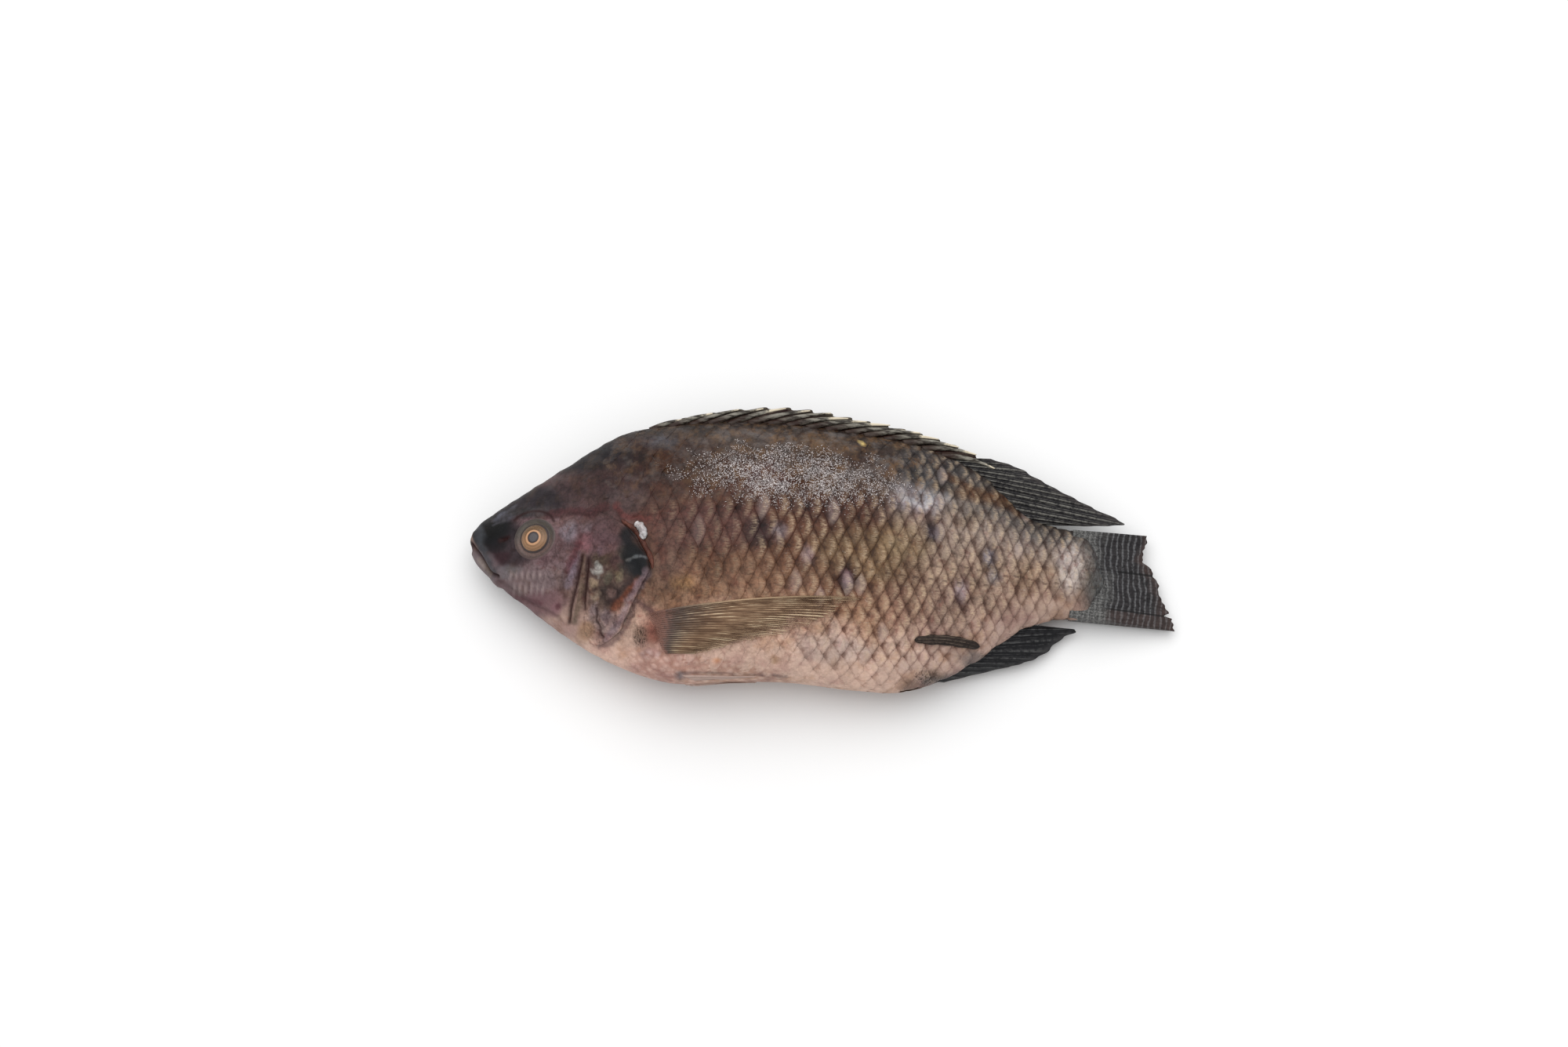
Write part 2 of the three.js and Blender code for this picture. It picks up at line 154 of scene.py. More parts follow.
def bare_skin(x, around):
    """A point of the skin before it is pressed: height = widest + reach * sin(angle), and depth = middle
    plus half the thickness * cos(angle) to a power that sharpens the edge."""
    x, around = np.broadcast_arrays(x, around)
    wide, above, below, half = section(x)
    up, out = np.sin(around), np.cos(around)
    reach = np.where(up > 0, above, below)
    edge = np.where(up > 0, back_edge(x), belly_edge(x))
    depth = half * np.sign(out) * np.abs(out) ** edge
    return np.stack([x - SNOUT_TO_ORIGIN, wide + reach * up, middle(x) + depth], axis=-1)


def skin(x, around, lift=0.0):
    """A point that stands `lift` off the skin, along its normal, with the flank that meets the ground
    pressed flat: what would sink below the ground is raised to it, with a soft bend at the edge."""
    x, around, lift = np.broadcast_arrays(np.asarray(x, float), around, lift)
    inner = np.clip(x, END_GAP, FLESH_END - END_GAP)
    along = bare_skin(inner + SLOPE_STEP, around) - bare_skin(inner - SLOPE_STEP, around)
    upward = bare_skin(inner, around + SLOPE_STEP) - bare_skin(inner, around - SLOPE_STEP)
    normal = unit(np.cross(along, upward))
    point = bare_skin(x, around)
    outer = point[..., 2] + OUTER_LIFT * normal[..., 2]
    bend = (np.clip(outer, -PRESSED_EDGE, PRESSED_EDGE) + PRESSED_EDGE) ** 2 / (4 * PRESSED_EDGE)
    pressed = np.where(outer > PRESSED_EDGE, outer, bend)
    lifted = point + normal * lift[..., None]
    lifted[..., 2] = np.maximum(lifted[..., 2] + pressed - outer, 0.0)
    return lifted


def around_at_height(x, y, side):
    """The angle at which the skin reaches the height y on one flank: the arcsine of the height's share of
    the reach."""
    wide, above, below, _ = section(x)
    share = (y - wide) / np.maximum(np.where(y > wide, above, below), 1e-6)
    angle = np.arcsin(np.clip(share, -1, 1))
    return angle if side == LEFT else math.pi - angle


def on_flank(x, y, side, lift):
    """A point `lift` off the flank at the place x and the height y."""
    return skin(x, around_at_height(x, y, side), lift)


def in_middle(x, y):
    """A point of the fish's middle plane."""
    return np.stack([x - SNOUT_TO_ORIGIN, y, middle(x)], axis=-1)


RUN_STEP = 0.5  # from one entry of the table of runs to the next
RUN_LIMIT = 90.0  # the longest run in it
runs = np.arange(-RUN_LIMIT, RUN_LIMIT + RUN_STEP, RUN_STEP)
run_places = np.linspace(0, FLESH_END, 245)  # the places that the table holds


def run_table():
    """The angle reached from the widest line, for each place along the fish, after each run up or down
    the left flank. A run past the midline goes on down the other flank, as its mirror image."""
    angles = np.linspace(0, QUARTER, 181)
    table = np.zeros((len(run_places), len(runs)))
    for sense in (1, -1):
        points = bare_skin(run_places[:, None], sense * angles[None, :])
        pieces = np.linalg.norm(np.diff(points, axis=1), axis=-1)
        length = np.concatenate([np.zeros((len(run_places), 1)), np.cumsum(pieces, axis=1)], axis=1)
        chosen = runs * sense >= 0
        wanted = np.abs(runs[chosen])
        for i, run in enumerate(length):
            whole = max(run[-1], 1e-6)
            near = np.interp(np.minimum(wanted, whole), run, angles)
            far = math.pi - np.interp(np.clip(2 * whole - wanted, 0, whole), run, angles)
            table[i, chosen] = sense * np.where(wanted <= whole, near, far)
    return table


run_angles = run_table()


def around_after(x, run, side):
    """The angle after a run up or down one flank, read from the table between its four nearest entries."""
    column = np.clip(x / FLESH_END * (len(run_places) - 1), 0, len(run_places) - 1.001)
    row = np.clip((run + RUN_LIMIT) / RUN_STEP, 0, len(runs) - 1.001)
    i, j = column.astype(int), row.astype(int)
    s, t = column - i, row - j
    low = mix(run_angles[i, j], run_angles[i + 1, j], s)
    high = mix(run_angles[i, j + 1], run_angles[i + 1, j + 1], s)
    angle = mix(low, high, t)
    return angle if side == LEFT else math.pi - angle


# ---- Shader maths ----


class Term:
    """A number in a shader: a socket that adds, multiplies and so on as a plain number does."""

    def __init__(self, recipe, socket):
        self.recipe = recipe
        self.socket = socket

    def join(self, operation, *others):
        """This number joined to others by a maths node."""
        numbers = [self, *others]
        node = self.recipe.node("Math", {"operation": operation}, dict(enumerate(numbers)))
        return Term(self.recipe, node.outputs[0])

    def __add__(self, other):
        return self.join("ADD", other)

    __radd__ = __add__

    def __mul__(self, other):
        return self.join("MULTIPLY", other)

    __rmul__ = __mul__

    def __sub__(self, other):
        return self.join("SUBTRACT", other)

    def __rsub__(self, other):
        return (self * -1.0).join("ADD", other)

    def __pow__(self, power):
        return self.join("POWER", power)

    def __abs__(self):
        return self.join("ABSOLUTE")

    def top(self, other):
        """The greater of the two."""
        return self.join("MAXIMUM", other)

    def sine(self):
        """The sine of an angle in radians."""
        return self.join("SINE")

    def rise(self, low, high):
        """0 up to low and 1 from high, with an S-shaped rise between; low above high makes a fall."""
        settings = {"interpolation_type": "SMOOTHSTEP"}
        inputs = {"Value": self, "From Min": low, "From Max": high}
        return Term(self.recipe, self.recipe.node("MapRange", settings, inputs).outputs[0])


class Recipe:
    """A material made of nodes."""

    def __init__(self, name):
        self.material = bpy.data.materials.new(name)
        self.material.use_nodes = True
        self.tree = self.material.node_tree
        self.tree.nodes.clear()
        self.place = Term(self, self.node("TexCoord").outputs["Object"])

    def node(self, kind, settings=None, inputs=None):
        """A node of the given type, with its settings made first and then the values or links of its
        sockets, which are named or numbered."""
        made = self.tree.nodes.new("ShaderNode" + kind)
        for name, value in (settings or {}).items():
            setattr(made, name, value)
        for name, value in (inputs or {}).items():
            source = value.socket if isinstance(value, Term) else value
            if isinstance(source, bpy.types.NodeSocket):
                self.tree.links.new(source, made.inputs[name])
            else:
                made.inputs[name].default_value = source
        return made

    def read(self, name):
        """A number kept on the mesh."""
        return Term(self, self.node("Attribute", {"attribute_name": name}).outputs["Fac"])

    def read_colour(self, name):
        """A colour kept on the mesh."""
        return self.node("Attribute", {"attribute_name": name}).outputs["Color"]

    def place_in_grains(self, size, stretch=(1, 1, 1)):
        """The place counted in grains of `size` millimetres, stretched along each axis."""
        scale = [1 / (size * MM * s) for s in stretch]
        return self.node("Mapping", None, {"Vector": self.place, "Scale": scale}).outputs[0]

    def noise(self, size, detail=3.0, roughness=0.55, stretch=(1, 1, 1)):
        """Soft noise of 0 to 1 whose grains are about `size` millimetres."""
        where = self.place_in_grains(size, stretch)
        inputs = {"Vector": where, "Scale": 1.0, "Detail": detail, "Roughness": roughness}
        return Term(self, self.node("TexNoise", None, inputs).outputs[0])

    def cells(self, size):
        """Distance to the nearest of scattered points about `size` millimetres apart, as a share of that."""
        inputs = {"Vector": self.place_in_grains(size), "Scale": 1.0}
        return Term(self, self.node("TexVoronoi", None, inputs).outputs["Distance"])

    def blend(self, share, first, second, how="MIX"):
        """The colour `share` of the way from the first to the second, or the second laid on in the way
        that `how` says. A colour is a socket or three screen values."""
        settings = {"data_type": "RGBA", "blend_type": how, "clamp_factor": True}
        first, second = (tone(*part) if isinstance(part, tuple) else part for part in (first, second))
        return self.node("Mix", settings, {0: share, 6: first, 7: second}).outputs[2]

    def layers(self, colour, *laid):
        """The colour with others laid over it in turn: each a share, a colour and maybe how it is laid."""
        for share, over, *how in laid:
            colour = self.blend(share, colour, over, *how)
        return colour

    def lit(self, colour, amount):
        """The colour times a number."""
        made = self.node("VectorMath", {"operation": "SCALE"}, {"Vector": colour, "Scale": amount})
        return made.outputs["Vector"]

    def finish(self, colour, roughness, height=None, depth=0.0, alpha=1.0, **constants):
        """Closes the material: `height` of 0 to 1 is a bump `depth` millimetres deep, and constants are
        set on the shader itself."""
        inputs = {"Base Color": colour, "Roughness": roughness, "Alpha": alpha}
        if height is not None:
            bump = {"Height": height, "Distance": depth * MM, "Strength": 1.0}
            inputs["Normal"] = self.node("Bump", None, bump).outputs[0]
        inputs.update({name.replace("_", " "): value for name, value in constants.items()})
        shader = self.node("BsdfPrincipled", None, inputs)
        output = self.node("OutputMaterial")
        self.tree.links.new(shader.outputs[0], output.inputs["Surface"])
        return self.material


LIGHT_GAIN = 1.1  # how much the studio light brightens a matt finish
GLOSS_VEIL = 0.012  # what the gloss of wet skin adds to it


def tone(red, green, blue):
    """The light-linear colour a finish needs to look like these screen values of 0 to 255 in the studio:
    the values undone from their screen curve, less the veil of gloss, divided by the light's gain."""
    share = np.array([red, green, blue]) / 255
    light = np.where(share <= 0.04045, share / 12.92, ((share + 0.055) / 1.055) ** 2.4)
    matt = np.maximum(light - GLOSS_VEIL, 0.001) / LIGHT_GAIN
    return (*(float(part) for part in matt), 1.0)


# ---- Meshes ----


def net(rows, columns, first=0):
    """The four corners of each cell in a net of rows * columns points, numbered row by row."""
    start = first + np.arange(rows - 1)[:, None] * columns + np.arange(columns - 1)[None, :]
    return np.stack([start, start + 1, start + columns + 1, start + columns], axis=-1).reshape(-1, 4)


def piece(name, points, polygons, material, slot, numbers=None, paint=None, flat=()):
    """One finished piece of the fish from points in millimetres and a list of arrays of polygons, of which
    those numbered in `flat` aren't shaded smooth.

    A closed mesh whose polygons face inwards is turned: its volume, the sum of corner dot (corner cross
    corner) over its triangles, is then negative."""
    points = np.asarray(points, float).reshape(-1, 3)
    volume = 0.0
    for block in polygons:
        first = points[block[:, 0]]
        for k in range(1, block.shape[1] - 1):
            volume += np.sum(first * np.cross(points[block[:, k]], points[block[:, k + 1]]))
    if volume < 0:
        polygons = [block[:, ::-1] for block in polygons]
    sizes = np.concatenate([np.full(len(block), block.shape[1]) for block in polygons])
    corners = np.concatenate([block.ravel() for block in polygons])
    mesh = bpy.data.meshes.new(name)
    mesh.vertices.add(len(points))
    mesh.vertices.foreach_set("co", (points * MM).ravel())
    mesh.loops.add(len(corners))
    mesh.loops.foreach_set("vertex_index", corners.astype(np.int32))
    mesh.polygons.add(len(sizes))
    mesh.polygons.foreach_set("loop_start", np.concatenate([[0], np.cumsum(sizes)[:-1]]).astype(np.int32))
    mesh.update(calc_edges=True)
    rounded = [np.full(len(block), number not in flat) for number, block in enumerate(polygons)]
    mesh.polygons.foreach_set("use_smooth", np.concatenate(rounded))
    for label, values in (numbers or {}).items():
        held = mesh.attributes.new(label, "FLOAT", "POINT")
        held.data.foreach_set("value", np.asarray(values, float).ravel())
    if paint is not None:
        colours = np.ones((len(points), 4))
        colours[:, :3] = np.asarray(paint, float).reshape(-1, 3)
        held = mesh.color_attributes.new("paint", "FLOAT_COLOR", "POINT")
        held.data.foreach_set("color", colours.ravel())
    mesh.validate()
    mesh.materials.append(material)
    made = bpy.data.objects.new(name, mesh)
    bpy.context.scene.collection.objects.link(made)
    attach(made, "root")
    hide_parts("fish")


def slab(name, upper, lower, material, slot, numbers=None, paint=None):
    """A closed sheet between two nets of points, with a flat wall round its edge."""
    rows, columns = upper.shape[:2]
    count = rows * columns
    index = np.arange(count).reshape(rows, columns)
    loop = rim_of(index)
    after = np.roll(loop, -1)
    wall = np.stack([after, loop, loop + count, after + count], axis=-1)
    top = net(rows, columns)
    points = np.concatenate([upper.reshape(-1, 3), lower.reshape(-1, 3)])
    doubled = {label: np.tile(np.ravel(values), 2) for label, values in (numbers or {}).items()}
    if paint is not None:
        paint = np.tile(paint.reshape(-1, 3), (2, 1))
    piece(name, points, [top, top[:, ::-1] + count, wall], material, slot, doubled, paint, flat=[2])


def rim_of(index):
    """The entries round the edge of a net, in the order that its faces run."""
    return np.concatenate([index[0], index[1:, -1], index[-1, -2::-1], index[-2:0:-1, 0]])


def plates(name, upper, drop, material, slot, numbers=None, paint=None):
    """Many small closed plates of the same net, `upper` being plates * rows * columns points. Each has a
    wall that falls by `drop` and one face below."""
    count, rows, columns = upper.shape[:3]
    each = rows * columns
    loop = rim_of(np.arange(each).reshape(rows, columns))
    foot = each + np.arange(len(loop))
    below = (upper - drop).reshape(count, each, 3)[:, loop]
    points = np.concatenate([upper.reshape(count, each, 3), below], axis=1)
    size = points.shape[1]
    starts = size * np.arange(count)[:, None, None]
    top = (net(rows, columns)[None] + starts).reshape(-1, 4)
    wall = np.stack([np.roll(loop, -1), loop, foot, np.roll(foot, -1)], axis=-1)
    wall = (wall[None] + starts).reshape(-1, 4)
    floor = (foot[::-1][None, None] + starts).reshape(-1, len(loop))

    def spread(values):
        """Values for the plates' upper points, repeated for the points below their edges."""
        values = np.asarray(values).reshape(count, each, -1)
        return np.concatenate([values, values[:, loop]], axis=1)

    numbers = {label: spread(values) for label, values in (numbers or {}).items()}
    paint = None if paint is None else spread(paint)
    piece(name, points, [top, wall, floor], material, slot, numbers, paint, flat=[1, 2])


def tubes(name, rings, material, slot, numbers=None, paint=None):
    """Closed tubes, `rings` being tubes * rings * corners points, each end closed by one face."""
    count, length, corners = rings.shape[:3]
    starts = length * corners * np.arange(count)[:, None, None]
    first = np.arange(length - 1)[:, None] * corners + np.arange(corners)[None, :]
    beside = np.arange(length - 1)[:, None] * corners + (np.arange(corners)[None, :] + 1) % corners
    side = np.stack([first, beside, beside + corners, first + corners], axis=-1).reshape(-1, 4)
    side = (side[None] + starts).reshape(-1, 4)
    cap = np.arange(corners)
    near = (cap[::-1][None, None] + starts).reshape(-1, corners)
    far = (cap[None, None] + (length - 1) * corners + starts).reshape(-1, corners)
    piece(name, rings, [side, near, far], material, slot, numbers, paint)


# ---- Colours of the skin ----

# The flank's colours by share of the way from the belly to the back: in front, and behind the middle.
GROUND = [
    (0.00, (206, 176, 160), (180, 154, 142)),
    (0.12, (188, 158, 142), (156, 131, 120)),
    (0.26, (133, 103, 84), (132, 110, 98)),
    (0.45, (92, 66, 53), (135, 116, 102)),
    (0.64, (73, 50, 43), (135, 120, 111)),
    (0.80, (64, 50, 45), (92, 87, 84)),
    (1.00, (46, 40, 38), (60, 56, 54)),
]
GROUND_TURNS = (150, 185)  # where the front colours give way to the rear ones

# Soft patches laid on in turn: place along the fish, height, reach along, reach up, colour, strength.
PATCHES = {
    "face": (22, -6, 46, 40, (106, 86, 88), 1.0),
    "nape": (52, 22, 24, 22, (60, 46, 46), 0.85),
    "brown nape": (76, 30, 22, 12, (50, 34, 28), 0.75),
    "gold nape": (73, 28.5, 9, 4, (66, 43, 31), 0.6),
    "crown": (42, 32, 24, 10, (36, 34, 37), 0.95),
    "front of the eye": (16, -6, 14, 11, (52, 46, 49), 0.9),
    "red snout side": (12.5, -10, 6, 3, (60, 42, 46), 0.7),
    "snout": (8, 2, 13, 11, (30, 28, 32), 1.0),
    "forehead": (20, 13, 24, 9, (40, 37, 41), 0.95),
    "grey forehead": (13.5, 6, 5, 3, (78, 78, 86), 0.6),
    "black over the snout": (9, 1, 6, 4, (20, 18, 21), 0.8),
    "over the eye": (25, 7, 11, 3, (58, 56, 58), 0.7),
    "muzzle": (16, -15.4, 7, 3, (106, 104, 108), 0.8),
    "lower jaw": (6, -14, 8, 7, (122, 106, 109), 0.9),
    "cheek": (28, -19, 17, 7, (116, 101, 102), 0.7),
    "lower cheek": (30, -27, 13, 5, (114, 86, 90), 0.8),
    "pink of the cheek": (35.5, -29.6, 3, 3, (134, 98, 104), 0.6),
    "red of the cheek": (36.5, -28.6, 1.5, 1.5, (72, 36, 42), 0.6),
    "behind the eye": (46, -3, 15, 9, (88, 68, 70), 0.85),
    "pale behind the eye": (39, -1, 3.6, 5, (132, 122, 130), 0.65),
    "pale behind that": (45.5, 0, 3.4, 3, (112, 98, 102), 0.55),
    "pink behind the eye": (46, -5.6, 4, 5, (118, 80, 84), 0.6),
    "throat": (56, -49, 24, 8, (216, 182, 166), 1.0),
    "chin": (34, -36, 14, 4, (158, 128, 122), 0.7),
    "chest": (80, -48, 16, 8, (202, 166, 154), 0.9),
    "gill cover": (56, -20, 12, 15, (88, 74, 68), 0.9),
    "top of the gill cover": (54, -6, 9, 5, (92, 70, 74), 0.7),
    "olive of the gill cover": (52, -12, 5, 3, (70, 62, 48), 0.6),
    "green of the gill cover": (61, -11, 3.4, 7, (66, 68, 66), 0.7),
    "dark gill middle": (56, -24.5, 5, 5, (56, 48, 46), 0.8),
    "black gill corner": (65.4, -12.6, 6.6, 7.5, (40, 41, 43), 0.95),
    "behind the gill": (76, -20, 9, 9, (108, 84, 70), 0.8),
    "low gill cover": (55, -35, 8, 5.5, (142, 122, 118), 0.9),
    "gill cover foot": (48, -37.4, 5, 4, (146, 114, 88), 0.75),
    "shoulder": (78, -8, 8, 16, (96, 76, 70), 0.6),
    "tan shoulder": (80, -2, 4, 3, (118, 94, 68), 0.5),
    "purple flank": (90, 2, 30, 12, (86, 61, 58), 0.7),
    "tan by the fin": (83.5, -20, 6, 4, (134, 102, 70), 0.6),
    "fin base": (74.5, -37, 6.5, 7.5, (150, 110, 96), 0.95),
    "shade of the fin base": (69, -39.4, 3.4, 4.4, (112, 90, 80), 0.7),
    "red of the fin base": (74.8, -38.4, 4.4, 4.6, (138, 84, 72), 0.5),
    # A painted highlight low on the lobe at the fin's base.
    "highlight on the fin base": (73, -45.4, 4.5, 2, (190, 168, 170), 0.6),
    "bruise": (111, 1, 7, 7, (56, 44, 46), 0.85),
    "blue scale": (118.5, 1.5, 3.2, 4, (126, 116, 120), 0.7),
    "grey back": (104, 38, 24, 9, (76, 66, 61), 0.75),
    "back under the glints": (112, 26, 40, 9, (58, 39, 31), 0.85),
    "purple under the glints": (112, 24, 12, 7, (86, 62, 64), 0.5),
    "silver shoulder": (170, 22, 12, 7.5, (162, 162, 168), 0.75),
    "blue grey nape": (72, 38, 8, 5, (78, 78, 84), 0.7),
    "grey nape": (60, 12, 10, 6, (84, 72, 72), 0.5),
    "brown back": (132, 40, 14, 6, (98, 78, 58), 0.6),
    "yellow speck": (147.5, 43, 1.4, 1.2, (214, 190, 120), 1.0),
    "dark rear back": (174, 34, 16, 13, (56, 56, 58), 0.85),
    "olive flank": (152, -4, 26, 13, (118, 100, 76), 0.5),
    "gold flank": (166, 4, 14, 10, (134, 114, 88), 0.5),
    "rust at the soft fin": (196, 26, 16, 4, (100, 74, 52), 0.7),
    "pink belly": (168, -40, 30, 9, (178, 153, 141), 0.7),
    "grey belly": (140, -40, 18, 7, (170, 154, 148), 0.5),
    "rim of hurt scale one": (144.5, -13.5, 5.2, 7.4, (46, 28, 28), 0.95),
    "hurt scale one": (144.5, -13.5, 2.4, 3.6, (122, 98, 104), 0.85),
    "hurt scale two": (129.5, -6, 2.6, 4.6, (136, 118, 120), 0.7),
    "rim of hurt scale three": (176, 8, 4.6, 6.4, (48, 38, 38), 0.9),
    "hurt scale three": (176, 8, 1.8, 3.0, (104, 98, 106), 0.8),
    "rim of hurt scale four": (188, -13, 5.0, 8.6, (78, 54, 52), 0.9),
    "hurt scale four": (188, -13, 2.6, 5.4, (136, 122, 124), 0.9),
    "rim of hurt scale five": (198, 1, 4.6, 6.6, (60, 50, 52), 0.85),
    "hurt scale five": (198, 1, 2.0, 3.4, (120, 116, 124), 0.8),
    "hurt scale six": (200, -6, 3.4, 3.2, (112, 108, 112), 0.75),
    "anus": (171, -49, 5, 3, (104, 84, 74), 0.7),
    "spots by the anus": (179, -44.5, 5, 2.5, (112, 92, 80), 0.6),
    "orange spot": (98, -47, 1.6, 1.4, (196, 132, 84), 0.7),
    "knob before the belly fin": (84.5, -52, 2.6, 1.5, (126, 126, 134), 0.8),
    "brown belly spot": (120, -45, 2.6, 1.8, (146, 110, 72), 0.6),
    "grey by the anal fin": (196, -37, 9, 4, (96, 92, 92), 0.7),
    "pale tail root": (229.5, 1, 7, 12, (176, 168, 164), 0.7),
    "tail root": (247, 0, 15, 30, (86, 88, 88), 1.0),
    "low tail root": (222, -15, 16, 4, (166, 142, 128), 0.7),
}

# Strokes laid on after the patches: the points of a path, half width, colour, strength.
STROKES = {
    "pink lip": ([(0.4, 1), (1.6, -3), (3.4, -5.6)], 0.8, (142, 112, 98), 0.8),
    "grey upper lip": ([(3.4, 2), (5.0, -5), (8.4, -11), (10.6, -14.4)], 1.6, (64, 66, 70), 0.8),
    "cream lower lip": ([(4.6, -9.6), (6.8, -12.4), (9.2, -15.2)], 0.45, (178, 164, 150), 0.8),
    "grey jaw": ([(2.4, -7.4), (5.4, -12.4), (8.6, -17)], 1.6, (122, 112, 114), 0.7),
    "streak on the forehead": ([(8.6, 5.2), (12.4, 7.0), (17, 11)], 0.8, (84, 84, 92), 0.6),
    "streak before the eye": ([(9.4, 3.0), (13, 4.6), (17, 7.6)], 0.5, (72, 72, 80), 0.6),
    "lilac by the groove": ([(41.9, -12.6), (41.4, -17), (40.2, -21.4)], 1.5, (114, 102, 112), 0.75),
    "ridge": ([(45.4, -11), (45.6, -17), (45.0, -26), (43.4, -34)], 1.1, (104, 88, 76), 0.85),
    "red before the ridge": ([(43.2, -6), (41.4, -11), (39.4, -16)], 1.2, (92, 48, 54), 0.55),
    "red over the cheek": ([(31, 5.4), (38, 7.2), (46, 6.4), (52, 9)], 1.7, (72, 42, 44), 0.7),
    "red fold": ([(16.4, -22.6), (23, -25), (30, -27)], 0.8, (86, 52, 58), 0.65),
    "black gill corner": ([(61, -3), (63.6, -8.4), (67.4, -13.6), (67, -17.4)], 3.2, (34, 35, 37), 0.95),
    "light over the black": ([(62, -12.6), (66, -11), (70, -11.2)], 0.5, (112, 116, 118), 0.55),
    "orange gill streak": ([(66.4, -20.8), (63, -25.0), (58.6, -29.4)], 1.7, (100, 58, 44), 0.85),
    "dark by the orange": ([(63.4, -20.6), (59.6, -24.4), (56, -28.4)], 1.3, (48, 40, 42), 0.6),
    "gill cover rim": (
        [(69.8, -17.4), (66.6, -23), (63.6, -29), (61, -35), (56, -40.2)], 1.4, (122, 106, 112), 0.7,
    ),
    # Painted shade on the skin just behind the gill cover's free edge.
    "shade under the rim": ([(66, -29), (63.4, -36), (58.4, -41.6), (53, -42.4)], 0.8, (88, 66, 70), 0.6),
    "dark over the fin base": ([(67, -27.6), (70.6, -29.8), (74.6, -32.6)], 1.1, (80, 56, 60), 0.7),
    "lobe of the fin base": (
        [(74.4, -33.6), (77.6, -37.4), (77.4, -42), (73, -45.8)], 1.5, (184, 146, 136), 0.6,
    ),
    # A painted shadow along the upper edge of the belly fin.
    "shadow over the belly fin": ([(86, -51.3), (100, -50.3), (124, -49.6)], 0.35, (96, 80, 78), 0.6),
    "red behind the gill": ([(72.6, -4), (75, -10), (76.6, -18)], 1.2, (80, 46, 40), 0.55),
    "red over the gill": ([(56, 9), (60, 4.8), (66, 4.2), (73, 3)], 1.2, (96, 52, 50), 0.6),
    "shade by the anal fin": ([(176, -47), (190, -42.6), (206, -33)], 1.4, (92, 88, 88), 0.75),
    "rust by the soft fin": ([(180, 33), (194, 27.4), (212, 20.6)], 1.6, (78, 56, 42), 0.8),
}


def wobble(x, y, size):
    """A smooth uneven field of about -1 to 1 whose lumps are `size` across: three crossed waves."""
    first = np.sin(x / size * 2.1 + 1.7 * np.sin(y / size * 1.3))
    second = np.sin(y / size * 2.6 + 1.3 * np.sin(x / size * 1.9 + 2.0))
    third = np.sin((x + 1.4 * y) / size * 1.6 + 0.6)
    return (first + second + third) / 3


def light_linear(colour):
    """The three light-linear parts of a colour given in screen values."""
    return np.array(tone(*colour)[:3])


def skin_colour(x, y):
    """The colour at each place: the ground by height, from front to rear, then every soft patch over it,
    which fades from its middle as an S with the distance in its reaches, then every stroke likewise."""
    share = (y - belly(x)) / np.maximum(back(x) - belly(x), 1e-6)
    heights = [height for height, _, _ in GROUND]
    front, rear = (np.array([light_linear(row[k]) for row in GROUND]) for k in (1, 2))
    uneven = np.clip(share + 0.035 * wobble(x, y, 9.0), 0, 1)
    grounds = [
        np.stack([np.interp(uneven, heights, colours[:, k]) for k in range(3)], axis=-1)
        for colours in (front, rear)
    ]
    turned = smooth(x + 6 * wobble(x, y, 14.0), *GROUND_TURNS)[..., None]
    colour = mix(grounds[0], grounds[1], turned)
    for px, py, reach_x, reach_y, shade, strength in PATCHES.values():
        away = np.hypot((x - px) / reach_x, (y - py) / reach_y)
        away = away * (1 + 0.16 * wobble(x + px, y + py, 0.35 * min(reach_x, reach_y) + 1.5))
        cover = strength * (1 - smooth(away, 0.45, 1.1))
        colour = mix(colour, light_linear(shade), cover[..., None])
    for path, half_width, shade, strength in STROKES.values():
        distance, _ = away_from(path, x, y)
        distance = distance * (1 + 0.4 * wobble(x, y, 1.2 + half_width)) + 0.3 * wobble(x, y, 1.1)
        cover = strength * (1 - smooth(distance, 0.3 * half_width, 1.7 * half_width))
        colour = mix(colour, light_linear(shade), cover[..., None])
    return colour


def small_marks(x, y):
    """How pale each place is made by two rows of narrow bars on the cheek, 0 to 1."""
    pale = np.zeros_like(x)
    for row, half_height in MARK_ROWS:
        distance, along = away_from(row, x, y)
        length = np.hypot(row[1][0] - row[0][0], row[1][1] - row[0][1])
        beat = 0.5 + 0.5 * np.cos(2 * np.pi * along * length / MARK_STEP + 0.5 * wobble(x, y, 4))
        ends = between(along, 0, 0.08, 0.8, 1)
        pale = np.maximum(pale, smooth(beat, 0.3, 0.95) * bump(distance, half_height) * ends)
    return pale


# ---- Relief of the head ----

EYE = (26.3, -3.6)
EYE_REACH = 8.6  # where the clear ring round the eye meets the skin
EYE_CORNER = [(17.5, 4.2), (20.5, 6.4), (26, 7.4), (31, 5.8), (33, 3.0)]
MOUTH = [(-1.5, 0), (1.2, -3.7), (5.2, -8.8), (7.3, -12.0), (9.3, -14.8), (12.2, -16.4)]
UPPER_LIP = [(0.6, 2.5), (4.0, -4.2), (6.6, -7.6), (9.4, -11.2), (12.6, -14.8)]
LOWER_LIP = [(0.4, -5.2), (2.4, -9.4), (5.2, -13.6), (9.2, -18.2), (13.5, -20.6)]
JAW_FOLD = [(12.2, -17.4), (17, -20.5), (24, -25.5), (32, -29.5), (38, -33)]
NOSTRIL = [(12.6, -3.6), (15.6, -2.6)]
BROW = [(8, 8), (14, 6.2), (20, 5.8), (27, 7.0), (33, 6.0)]
RED_CREASE = [(34, 4.6), (41, 6.0), (48, 5.6), (55, 8.2), (59, 3.2)]
FRONT_GROOVE = [(45.2, -10.5), (44.2, -16), (43.0, -23), (41.6, -29), (41.2, -34)]
REAR_GROOVE = [(47.4, -11.5), (47.4, -18), (46.8, -24), (47.2, -30)]
CHEEK_RIDGE = [(46.2, -9), (45.8, -16), (44.8, -24), (44.2, -30.5), (43.4, -34.5)]
CHEEK_CREASE = [(43.6, -2), (42.2, -9), (39.4, -16), (38.0, -22), (39.2, -28)]
